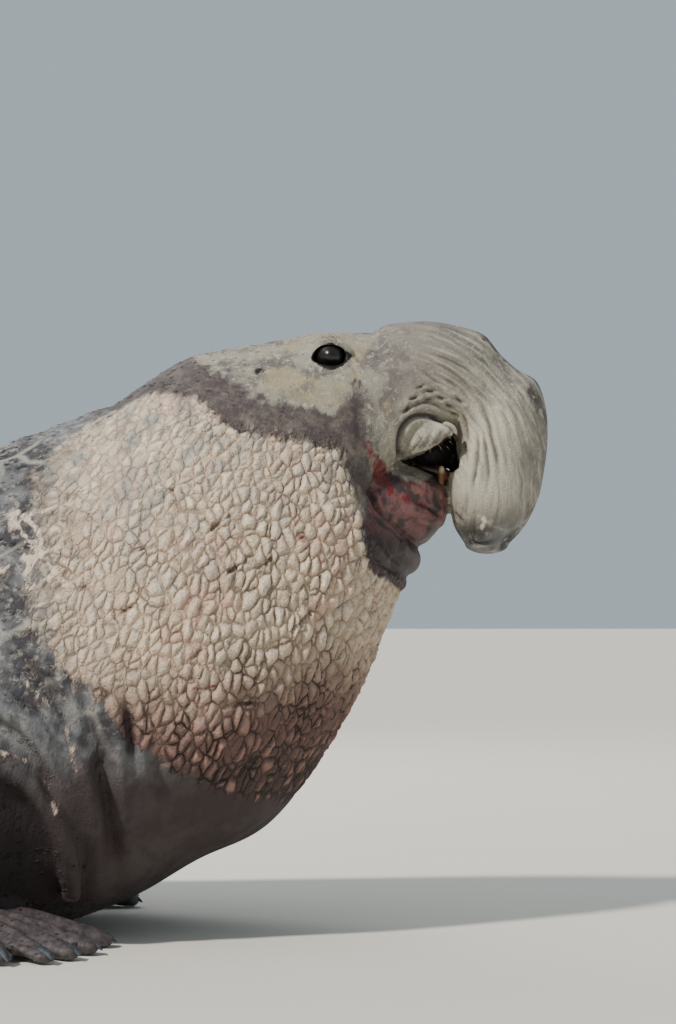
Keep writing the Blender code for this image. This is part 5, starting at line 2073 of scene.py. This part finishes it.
        # Painted shade under the chin: the throat below the jaw darkened; the other dark patches are the
        # jaw's own.
        throat = 1.0 - (z + x * 0.3).step(1.400, 1.470)
        deep = net.noise(place, 0.035, 4.0, 0.6).step(0.40, 0.60).at_least(throat)
        raw = net.mix(deep, self.raw, self.raw_dark_and_shade)
        base = net.mix(edges[Mask.RAW] * 0.92, base, raw)
        base = net.mix(edges[Mask.BLOOD] * (0.30 + fine.step(0.36, 0.60) * 0.62), base, self.blood)
        base = net.mix(edges[Mask.BARE], base, net.mix(fine.step(0.32, 0.76), self.bare_dark, self.bare))
        base = net.mix(edges[Mask.WORN] * 0.85, base, self.fresh_scar)
        # Painted shade along the creases and the shield's cracks.
        crease = net.stored(CREASE_SHADE)
        base = net.mix(crease.step(0.15, 1.0) * 0.85, base, self.crease)
        # Painted shade over the armpit and the strip in front of the arm.
        base = net.mix(edges[Mask.DIM] * 0.92, base, self.painted_shade)
        # Near black: painted shade in the mouth and the fold valleys, and round the eye partly dark lids,
        # partly painted shade.
        return net.mix(edges[Mask.BLACK], base, self.black)

    def skin(self) -> Material:
        """The material over the whole skin.

        Returns:
            The material.
        """
        material, net, shader = new_material("seal_hide")
        place = net.stored(PLACE, "Vector")
        edges = self.masks(net, place)
        base = self.colour(net, place, edges)
        relief = edges[Mask.SHIELD]
        height = self.cobbles.height(net, place) * relief * 2.4
        grain = net.noise(place, 0.0045, 3.0, 0.6)
        wrinkles = net.cells(net.warped(place, 0.02, 0.005) * 100.0, "DISTANCE_TO_EDGE", "Distance")
        wrinkles = wrinkles.step(0.0, 0.30)
        streaks = self.sweeps(net, place)
        nose = net.parts(place)[0].step(1.95, 2.15)
        rugged = 1.0 - edges[Mask.BARE] * 0.75
        fine = grain * (0.65 + relief * 0.75) + wrinkles * (0.16 + relief * 0.35)
        height = height + fine * rugged + streaks * nose
        soft_folds = net.noise(self.fold_grain.place(net, place), 1.0, 3.0, 0.55)
        height = height + soft_folds * (1.0 - relief) * (1.0 - net.parts(place)[0].step(1.7, 1.9)) * 2.2
        rough = 0.80 - edges[Mask.BLOOD] * 0.30 - edges[Mask.RAW] * 0.25 - edges[Mask.BARE] * 0.20
        rough = rough - edges[Mask.BLACK] * 0.25
        feed(net, shader, Base_Color=base, Roughness=rough, Normal=bump(net, height, 0.0022))
        shader.inputs["Specular IOR Level"].default_value = 0.35
        return material

    def coat(self) -> Material:
        """The material of the tufts, which carry the markings of the skin at their roots.

        Returns:
            The material.
        """
        material, net, shader = new_material("seal_coat")
        place = net.stored(PLACE, "Vector")
        base = self.colour(net, place, self.masks(net, place))
        hair = net.noise(net.own_place(), 0.006, 2.0)
        base = net.tint(1.0, base, net.mix(hair, (0.86, 0.86, 0.87), (1.12, 1.11, 1.08)))
        feed(net, shader, Base_Color=base, Roughness=0.75)
        shader.inputs["Specular IOR Level"].default_value = 0.3
        return material


@dataclass(frozen=True)
class EyeFinish:
    """The wet dark eye: brown iris, black pupil, clear film over both."""

    centre: Point
    iris: Point = srgb(20, 14, 12)
    white: Point = srgb(26, 20, 20)
    pupil: Point = srgb(4, 3, 4)
    pupil_radius: float = 0.009
    iris_radius: float = 0.019

    def material(self) -> Material:
        """The material of both eyes, read from how far a point lies from the middle of the pupil.

        Returns:
            The material.
        """
        material, net, shader = new_material("seal_eye")
        x, y, z = net.parts(net.own_place())
        cx, _, cz = self.centre
        away = ((x - cx) * (x - cx) + (z - cz) * (z - cz)) ** 0.5
        rays = net.noise(net.vector(x, 0.0, z), 0.002, 3.0) * 0.35
        iris = net.tint(1.0, self.iris, net.mix(rays, (0.6, 0.6, 0.6), (1.5, 1.4, 1.3)))
        base = net.mix(away.step(self.iris_radius, self.iris_radius + 0.003), iris, self.white)
        base = net.mix(away.step(self.pupil_radius, self.pupil_radius + 0.002), self.pupil, base)
        feed(net, shader, Base_Color=base, Roughness=0.32)
        shader.inputs["Coat Weight"].default_value = 0.15
        shader.inputs["Coat Roughness"].default_value = 0.04
        return material


@dataclass(frozen=True)
class ToothFinish:
    """Worn ivory, stained at the gum."""

    gum_level: float
    ivory: Point = srgb(226, 212, 178)
    stain: Point = srgb(128, 92, 56)

    def material(self) -> Material:
        """The material of the canines.

        Returns:
            The material.
        """
        material, net, shader = new_material("seal_tooth")
        place = net.own_place()
        z = net.parts(place)[2]
        lines = net.noise(place * (1.0, 1.0, 0.15), 0.0016, 3.0)
        low = 1.0 - (z + (lines - 0.5) * 0.008).step(self.gum_level, self.gum_level + 0.016)
        base = net.mix((low + lines.step(0.5, 0.8) * 0.4).at_most(1.0), self.ivory, self.stain)
        feed(net, shader, Base_Color=base, Roughness=0.32 + lines * 0.2, Normal=bump(net, lines, 0.0004))
        return material


@dataclass(frozen=True)
class TongueFinish:
    """Wet pink flesh with a fine grain, in painted shade behind the tip."""

    pink: Point = srgb(196, 112, 86)
    deep: Point = srgb(130, 60, 54)
    shaded: Point = srgb(34, 17, 17)

    def material(self) -> Material:
        """The material of the tongue.

        Returns:
            The material.
        """
        material, net, shader = new_material("seal_tongue")
        place = net.own_place()
        buds = net.cells(place * 400.0, "F1", "Distance")
        wide = net.noise(place, 0.012, 3.0)
        base = net.mix(wide.step(0.35, 0.65), self.pink, self.deep)
        base = net.mix(buds.step(0.3, 0.7) * 0.4, base, self.pink)
        # Painted shade: the tongue dark behind its tip, deep in the mouth.
        base = net.mix(net.parts(place)[0].step(2.108, 2.130), self.shaded, base)
        feed(net, shader, Base_Color=base, Roughness=0.30, Normal=bump(net, buds * -1.0, 0.0008))
        shader.inputs["Coat Weight"].default_value = 0.4
        return material


@dataclass(frozen=True)
class HornFinish:
    """Horn of the claws: dark blue-grey, ridged along, with paler patches of painted highlight."""

    dark: Point = srgb(28, 31, 37)
    # Colour of the painted highlight on the claws.
    pale: Point = srgb(67, 74, 82)

    def material(self) -> Material:
        """The material of the claws.

        Returns:
            The material.
        """
        material, net, shader = new_material("seal_claw")
        place = net.own_place()
        ridge = net.noise(place * (0.25, 1.0, 0.6), 0.0022, 3.0)
        patch = net.noise(place, 0.02, 2.0)
        # Painted highlight: paler patches over the dark horn.
        base = net.mix((ridge * 0.5 + patch * 0.6).step(0.35, 0.75), self.dark, self.pale)
        feed(net, shader, Base_Color=base, Roughness=0.55 + ridge * 0.2, Normal=bump(net, ridge, 0.0007))
        return material


@dataclass(frozen=True)
class BristleFinish:
    """Horn of the whiskers and brow bristles, dark with paler stretches."""

    dark: Point = srgb(58, 46, 40)
    pale: Point = srgb(150, 134, 112)

    def material(self) -> Material:
        """The material of the whiskers.

        Returns:
            The material.
        """
        material, net, shader = new_material("seal_bristle")
        place = net.own_place()
        base = net.mix(net.noise(place, 0.012, 2.0).step(0.35, 0.6), self.dark, self.pale)
        feed(net, shader, Base_Color=base, Roughness=0.4)
        return material


# Pieces of their own


def dressed(piece: Piece, name: str, finish: Material) -> Piece:
    """Names a finished piece, gives it its material and slot, and lets it ride on the body.

    Args:
        piece: the piece.
        name: name of the piece.
        finish: its material.

    Returns:
        The piece.
    """
    piece.name = name
    piece.data.name = name
    piece.data.materials.clear()
    piece.data.materials.append(finish)
    piece.data.shade_smooth()
    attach(piece, BODY)
    piece.data.calc_loop_triangles()
    log.info("%s: %d triangles", name, len(piece.data.loop_triangles))
    return piece


def joined(name: str, pieces: Sequence[Piece]) -> Piece:
    """One object of several closed forms, which stay separate shells inside it.

    Args:
        name: name of the object.
        pieces: the closed forms, which are removed.

    Returns:
        The object.
    """
    shape = bmesh.new()
    for piece in pieces:
        shape.from_mesh(piece.data)
        bpy.data.objects.remove(piece, do_unlink=True)
    mesh = bpy.data.meshes.new(name)
    shape.to_mesh(mesh)
    shape.free()
    return link_mesh(name, mesh)


@dataclass(frozen=True)
class Eyes:
    """The two eyeballs, each with the bulge of its cornea."""

    centre: Point
    radius: float
    cornea_radius: float = 0.0165
    cornea_bulge: float = 0.0032
    segments: int = 96

    def ball(self) -> Piece:
        """The right eyeball, its pole at the pupil.

        Returns:
            The eyeball.
        """
        shape = bmesh.new()
        turn = Matrix.Rotation(math.radians(90), 4, "X")
        rows = self.segments // 2
        bmesh.ops.create_uvsphere(shape, u_segments=self.segments, v_segments=rows, radius=1, matrix=turn)
        for vert in shape.verts:
            away = math.hypot(vert.co.x, vert.co.z) * self.radius / self.cornea_radius
            swell = self.cornea_bulge * max(0.0, 1 - away * away) if vert.co.y < 0 else 0.0
            vert.co = Vector(self.centre) + vert.co * (self.radius - 0.0012) + Vector((0, -swell, 0))
        return link_shape("eye_ball", shape)

    def build(self) -> None:
        """Builds both eyes in place of their solids."""
        finish = EyeFinish(self.centre).material()
        for name, ball in zip(("eye_right", "eye_left"), both_sides(self.ball())):
            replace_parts(dressed(ball, name + "_wet", finish), name)


@dataclass(frozen=True)
class Mouth:
    """Tongue and lower canines, in the open mouth."""

    tongue_rings: tuple[Ring, ...] = (
        Ring((2.061, 0.972), (2.061, 0.950), 0.034, 0.00),
        Ring((2.080, 0.976), (2.080, 0.942), 0.048, 0.00),
        Ring((2.100, 0.972), (2.100, 0.938), 0.054, 0.00),
        Ring((2.124, 0.966), (2.124, 0.930), 0.052, 0.00),
        Ring((2.144, 0.954), (2.140, 0.922), 0.044, 0.00),
    )
    tongue_tip: float = 0.006
    groove: float = 0.006
    canine: Point = (2.124, -0.060, 0.940)
    canine_height: float = 0.019
    canine_radius: float = 0.0072

    def tongue(self) -> Piece:
        """The tongue, with a groove down its middle.

        Returns:
            The tongue.
        """
        made = oval_loft("tongue_form", self.tongue_rings, 56, 10, dome=(self.tongue_tip, 0, 0))
        points = read_points(made.data)
        middle = np.exp(-((points[:, 1] / 0.012) ** 2)) * soft_step(points[:, 2], 0.952, 0.966)
        points[:, 2] -= self.groove * middle
        write_points(made.data, points)
        return made

    def tooth(self) -> Piece:
        """The right canine, curved back a little and rooted in the jaw.

        Returns:
            The canine.
        """
        foot = Vector(self.canine) - Vector((0, 0, 0.018))
        path = [foot, foot + Vector((0.002, 0, 0.018)), foot + Vector((0.002, 0, 0.034))]
        path.append(foot + Vector((-0.001, 0, 0.018 + self.canine_height)))
        sizes = [self.canine_radius * share for share in (0.95, 1.0, 0.78, 0.20)]
        return tube("canine_form", path, sizes, sizes, (0, 1, 0), sides=28, steps=8)

    def build(self) -> None:
        """Builds tongue and teeth in place of their solids."""
        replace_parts(dressed(self.tongue(), "tongue_wet", TongueFinish().material()), "tongue")
        finish = ToothFinish(self.canine[2]).material()
        for name, piece in zip(("canine_right", "canine_left"), both_sides(self.tooth())):
            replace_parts(dressed(piece, name + "_worn", finish), name)


@dataclass(frozen=True)
class Claws:
    """The five claws of each fore flipper."""

    limb: ForeFlipper = ForeFlipper()
    length: float = 0.040
    radius: float = 0.0100
    sunk: float = 0.018
    rise: float = 0.012
    drop: float = 0.016

    def claw(self, number: int) -> Piece:
        """A curved, tapered claw that starts inside its digit.

        Args:
            number: the digit, counted from 0.

        Returns:
            The claw.
        """
        root, _, tip = self.limb.digit(number)
        toward = Vector((tip.x - root.x, tip.y - root.y, 0)).normalized()
        base = tip + Vector((0, 0, self.rise)) - toward * self.sunk
        shares = (0.0, 0.35, 0.70, 1.0)
        path = [base + toward * (self.length * s) - Vector((0, 0, self.drop * s * s)) for s in shares]
        across = toward.cross(Vector((0, 0, 1)))
        widths = [self.radius * s for s in (1.0, 0.95, 0.70, 0.22)]
        heights = [self.radius * s for s in (0.72, 0.70, 0.52, 0.18)]
        return tube(f"claw_{number}", path, widths, heights, tuple(across), sides=20, steps=6)

    def build(self) -> None:
        """Builds the claws of both sides, each side one piece."""
        finish = HornFinish().material()
        claws = [self.claw(number) for number in range(len(self.limb.tips))]
        right = joined("claws_right", claws)
        for piece, name in zip(both_sides(right), ("claws_right", "claws_left")):
            dressed(piece, name, finish)


def bristle_tree(name: str, seed: int) -> Tree:
    """Geometry nodes that stand one bristle on every point, with its lean and size from the point.

    Args:
        name: name of the tree.
        seed: seed of the random draws.

    Returns:
        The tree.
    """
    net, points, given = new_tree(name, {"Bristle": "Object", "Finish": "Material", "Spread": "Float"})
    cloud = net.add("GeometryNodeMeshToPoints", {"mode": "VERTICES"}, {"Mesh": points})
    bristle = net.add("GeometryNodeObjectInfo", {}, {"Object": given["Bristle"]}, "Geometry")
    lay = named(net, LAY, "FLOAT_VECTOR")
    turn = net.add("FunctionNodeAlignRotationToVector", {"axis": "X"}, {"Vector": lay})
    jitter = net.add("FunctionNodeRandomValue", {"data_type": "FLOAT_VECTOR"}, {"Seed": seed})
    jitter = (jitter - (0.5, 0.5, 0.5)) * given["Spread"]
    inputs = {"Rotation": turn, "Rotate By": jitter}
    turn = net.add("FunctionNodeRotateRotation", {"rotation_space": "LOCAL"}, inputs)
    real = planted(net, cloud, bristle, turn, net.draw(0.7, 1.1, seed + 1))
    return close_tree(net, real, given["Finish"])


@dataclass(frozen=True)
class Whiskers:
    """Short stiff whiskers on the lip pads and a few bristles over each eye."""

    head: Head = Head()
    rows: int = 4
    columns: int = 5
    length: float = 0.034
    radius: float = 0.0007
    brow: tuple[Point, ...] = (
        (1.902, -0.160, 1.222),
        (1.912, -0.160, 1.220),
        (1.908, -0.166, 1.214),
        (1.898, -0.168, 1.213),
    )

    def bristle(self) -> Piece:
        """One tapered, slightly curved bristle along +X, its root at the origin.

        Returns:
            The bristle.
        """
        shares = (0.0, 0.35, 0.70, 1.0)
        path = [(self.length * s, 0.0, -0.16 * self.length * s * s) for s in shares]
        sizes = [self.radius * (1.0 - 0.85 * s) for s in shares]
        return tube("bristle", path, sizes, sizes, (0, 1, 0), sides=5, steps=1)

    def roots(self) -> tuple[Array, Array]:
        """Where the bristles of the right side stand, and their directions.

        Returns:
            The places and the directions.
        """
        pad, size = Vector(self.head.lip_pad), Vector(self.head.lip_pad_size)
        places, ways = [], []
        for row in range(self.rows):
            for column in range(self.columns):
                u = -0.55 + 1.15 * column / (self.columns - 1) + 0.06 * math.sin(3.1 * row + column)
                v = -0.22 + 0.72 * row / (self.rows - 1) + 0.05 * math.cos(2.3 * column + row)
                out = math.sqrt(max(0.05, 1 - u * u - v * v))
                places.append(pad + Vector((size.x * u, -size.y * out + 0.003, size.z * v)))
                ways.append(Vector((0.10 + 0.5 * u, -0.90, -0.25 + 0.2 * v)).normalized())
        places += [Vector(p) for p in self.brow]
        ways += [Vector((-0.45, -0.70, 0.30)).normalized()] * len(self.brow)
        return np.array(places), np.array(ways)

    def build(self) -> None:
        """Builds the whiskers of both sides as one piece."""
        places, ways = self.roots()
        flip = np.array([1, -1, 1])
        mesh = bpy.data.meshes.new("whisker_roots")
        mesh.from_pydata(np.concatenate([places, places * flip]).tolist(), [], [])
        store(mesh, LAY, np.concatenate([ways, ways * flip]))
        made = link_mesh("whiskers", mesh)
        bristle = self.bristle()
        grow, finish = made.modifiers.new("grow", "NODES"), BristleFinish().material()
        values = {"Bristle": bristle, "Finish": finish, "Spread": 0.30}
        apply_tree(grow, bristle_tree("whiskers", 11), values)
        made.data = plain_copy(made)
        bpy.data.objects.remove(bristle, do_unlink=True)
        dressed(made, "whiskers", finish)


@dataclass(frozen=True)
class Coat:
    """Tufts of short flat hair where the coat breaks the form, in one piece for each region of the skin."""

    length: float = 0.017
    width: float = 0.0034
    thickness: float = 0.0007
    lean: float = 0.20
    fan: float = 0.30
    blades: int = 3
    density: float = 2600.0
    patch: float = 0.003
    regions: tuple[str, ...] = ("rear", "loins", "shoulders", "neck", "head")

    def tuft(self) -> Piece:
        """Three flat closed blades that fan out along +X, with their places in the tuft's patch.

        Returns:
            The tuft.
        """
        shape = bmesh.new()
        for number in range(self.blades):
            turn = self.fan * (number - (self.blades - 1) / 2)
            reach = self.length * (1.0 - 0.16 * ((number * 2) % 3))
            way = Vector((math.cos(turn), math.sin(turn), 0))
            side = Vector((-way.y, way.x, 0))
            rows = []
            for share, wide in ((0.0, 1.0), (0.5, 0.85)):
                rise = self.lean * self.length * share * (1.0 - 0.45 * share)
                middle = way * reach * share + Vector((0, 0, rise - 0.0010 * (share == 0)))
                half = self.width / 2 * wide
                points = (middle - side * half, middle + side * half, middle + Vector((0, 0, self.thickness)))
                rows.append([shape.verts.new(p) for p in points])
            tip = shape.verts.new(way * reach + Vector((0, 0, self.lean * self.length * 0.55)))
            shape.faces.new(rows[0])
            for k in range(3):
                n = (k + 1) % 3
                shape.faces.new((rows[0][k], rows[0][n], rows[1][n], rows[1][k]))
                shape.faces.new((rows[1][k], rows[1][n], tip))
        made = link_shape("tuft", shape)
        points = read_points(made.data)
        store(made.data, "tuft_patch", points / self.length * (0.9, 0.9, 0.0) * self.patch)
        return made

    def tree(self, seed: int) -> Tree:
        """Geometry nodes that spread tufts over one region of a skin, along the lay of the coat.

        Args:
            seed: seed of the random draws.

        Returns:
            The tree.
        """
        inputs = {"Tuft": "Object", "Finish": "Material", "Density": "Float", "Region": "Float"}
        net, skin, given = new_tree("coat_tufts", inputs)
        here = 1.0 - (named(net, REGION) - given["Region"]).absolute().step(0.3, 0.5)
        z = net.parts(net.add("GeometryNodeInputPosition"))[2]
        clumps = net.noise(net.add("GeometryNodeInputPosition"), 0.05, 2.0).step(0.38, 0.62)
        thick = named(net, Mask.HAIR.value) * (clumps * 0.85 + 0.15) * z.step(0.004, 0.02) * here
        spread = net.node(
            "GeometryNodeDistributePointsOnFaces",
            {"distribute_method": "RANDOM"},
            {"Mesh": skin, "Density": thick * given["Density"], "Seed": seed},
        )
        points, normal = Signal(net, spread.outputs["Points"]), Signal(net, spread.outputs["Normal"])
        tuft = net.add("GeometryNodeObjectInfo", {}, {"Object": given["Tuft"]}, "Geometry")
        turn = net.add("FunctionNodeAlignRotationToVector", {"axis": "Z"}, {"Vector": normal})
        inputs = {"Rotation": turn, "Vector": named(net, LAY, "FLOAT_VECTOR")}
        turn = net.add("FunctionNodeAlignRotationToVector", {"axis": "X", "pivot_axis": "Z"}, inputs)
        inputs = {"Rotation": turn, "Rotate By": net.vector(0.0, 0.0, net.draw(-0.45, 0.45, seed + 1))}
        turn = net.add("FunctionNodeRotateRotation", {"rotation_space": "LOCAL"}, inputs)
        size = net.draw(0.55, 1.10, seed + 2)
        short = size * (1.0 - net.parts(net.add("GeometryNodeInputPosition"))[0].step(1.5, 1.95) * 0.60)
        real = planted(net, points, tuft, turn, short)
        patch = named(net, UNWRAP, "FLOAT_VECTOR") + named(net, "tuft_patch", "FLOAT_VECTOR")
        keep = {"data_type": "FLOAT2", "domain": "CORNER"}
        inputs = {"Geometry": real, "Name": "OFBake", "Value": patch}
        return close_tree(net, net.add("GeometryNodeStoreNamedAttribute", keep, inputs), given["Finish"])

    def build(self, body: Piece, finish: Material) -> None:
        """Grows the tufts on the finished skin.

        Args:
            body: the finished skin.
            finish: the coat's material.
        """
        tuft = self.tuft()
        for number, region in enumerate(self.regions):
            made = link_mesh("coat_" + region, body.data.copy())
            grow = made.modifiers.new("grow", "NODES")
            values = {"Tuft": tuft, "Finish": finish, "Density": self.density, "Region": float(number)}
            apply_tree(grow, self.tree(20 + 10 * number), values)
            made.data = plain_copy(made)
            dressed(made, "coat_" + region, finish)
        bpy.data.objects.remove(tuft, do_unlink=True)


@dataclass(frozen=True)
class Studio:
    """Pale floor, soft light and the photograph's viewpoint."""

    eye: Point = (1.91, -6.5, 0.689)
    look: Point = (1.91, 0.0, 0.867)
    lens: float = 108.8
    sensor: float = 36.0
    floor_size: float = 60.0
    floor_colour: Point = srgb(226, 220, 208)
    sky_colour: Point = srgb(206, 222, 232)
    sky_strength: float = 0.66
    key_strength: float = 4.1
    key_colour: Point = (1.0, 0.955, 0.89)
    key_softness: float = math.radians(5)
    key_toward: Point = (-0.62, -0.66, 0.80)
    back_place: Point = (-1.0, 6.5, 5.0)
    back_target: Point = (0.6, 0.0, 0.6)
    back_size: float = 4.0
    back_power: float = 200.0

    def build(self) -> None:
        """Builds the floor, the lights and the camera."""
        self.floor()
        self.lights()
        world = bpy.data.worlds.new("studio")
        world.use_nodes = True
        world.node_tree.nodes["Background"].inputs["Color"].default_value = (*self.sky_colour, 1)
        world.node_tree.nodes["Background"].inputs["Strength"].default_value = self.sky_strength
        bpy.context.scene.world = world
        self.camera()

    def floor(self) -> None:
        """A plain pale floor."""
        shape = bmesh.new()
        bmesh.ops.create_grid(shape, x_segments=1, y_segments=1, size=self.floor_size)
        mesh = bpy.data.meshes.new("studio_floor")
        shape.to_mesh(mesh)
        shape.free()
        floor = link_mesh("studio_floor", mesh)
        material, net, shader = new_material("pale_floor")
        place = net.own_place()
        darker = tuple(v * 0.94 for v in self.floor_colour)
        shade = net.mix(net.noise(place, 0.6, 3.0), self.floor_colour, darker)
        feed(net, shader, Base_Color=shade, Roughness=0.9)
        mesh.materials.append(material)

    @staticmethod
    def aimed(data: bpy.types.ID, place: Point, target: Point) -> Piece:
        """A camera or light of the scene at the place, turned to the target.

        Args:
            data: the camera or light.
            place: where it stands.
            target: the point that it is turned to.

        Returns:
            The object.
        """
        made = bpy.data.objects.new(data.name, data)
        made.location = place
        made.rotation_euler = (Vector(target) - Vector(place)).to_track_quat("-Z", "Y").to_euler()
        bpy.context.scene.collection.objects.link(made)
        return made

    def lights(self) -> None:
        """The sun, and a square light behind the animal."""
        sun = bpy.data.lights.new("key_light", "SUN")
        sun.energy, sun.angle, sun.color = self.key_strength, self.key_softness, self.key_colour
        self.aimed(sun, self.key_toward, (0, 0, 0))
        back = bpy.data.lights.new("back_light", "AREA")
        back.size, back.energy = self.back_size, self.back_power
        self.aimed(back, self.back_place, self.back_target)

    def camera(self) -> None:
        """The camera at the photograph's viewpoint."""
        lens = bpy.data.cameras.new("photo_view")
        lens.lens, lens.sensor_width, lens.sensor_fit = self.lens, self.sensor, "AUTO"
        lens.clip_end = 200
        bpy.context.scene.camera = self.aimed(lens, self.eye, self.look)


def main() -> None:
    """Builds the studio and every piece of the seal."""
    Studio().build()
    skin, hide = Skin(), HideFinish()
    body = dressed(skin.build(), "seal_skin", hide.skin())
    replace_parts(body, *skin.nodes)
    Eyes(skin.head.eye, skin.head.eye_radius).build()
    Mouth().build()
    Claws().build()
    Whiskers().build()
    Coat().build(body, hide.coat())


if __name__ == "__main__":
    main()
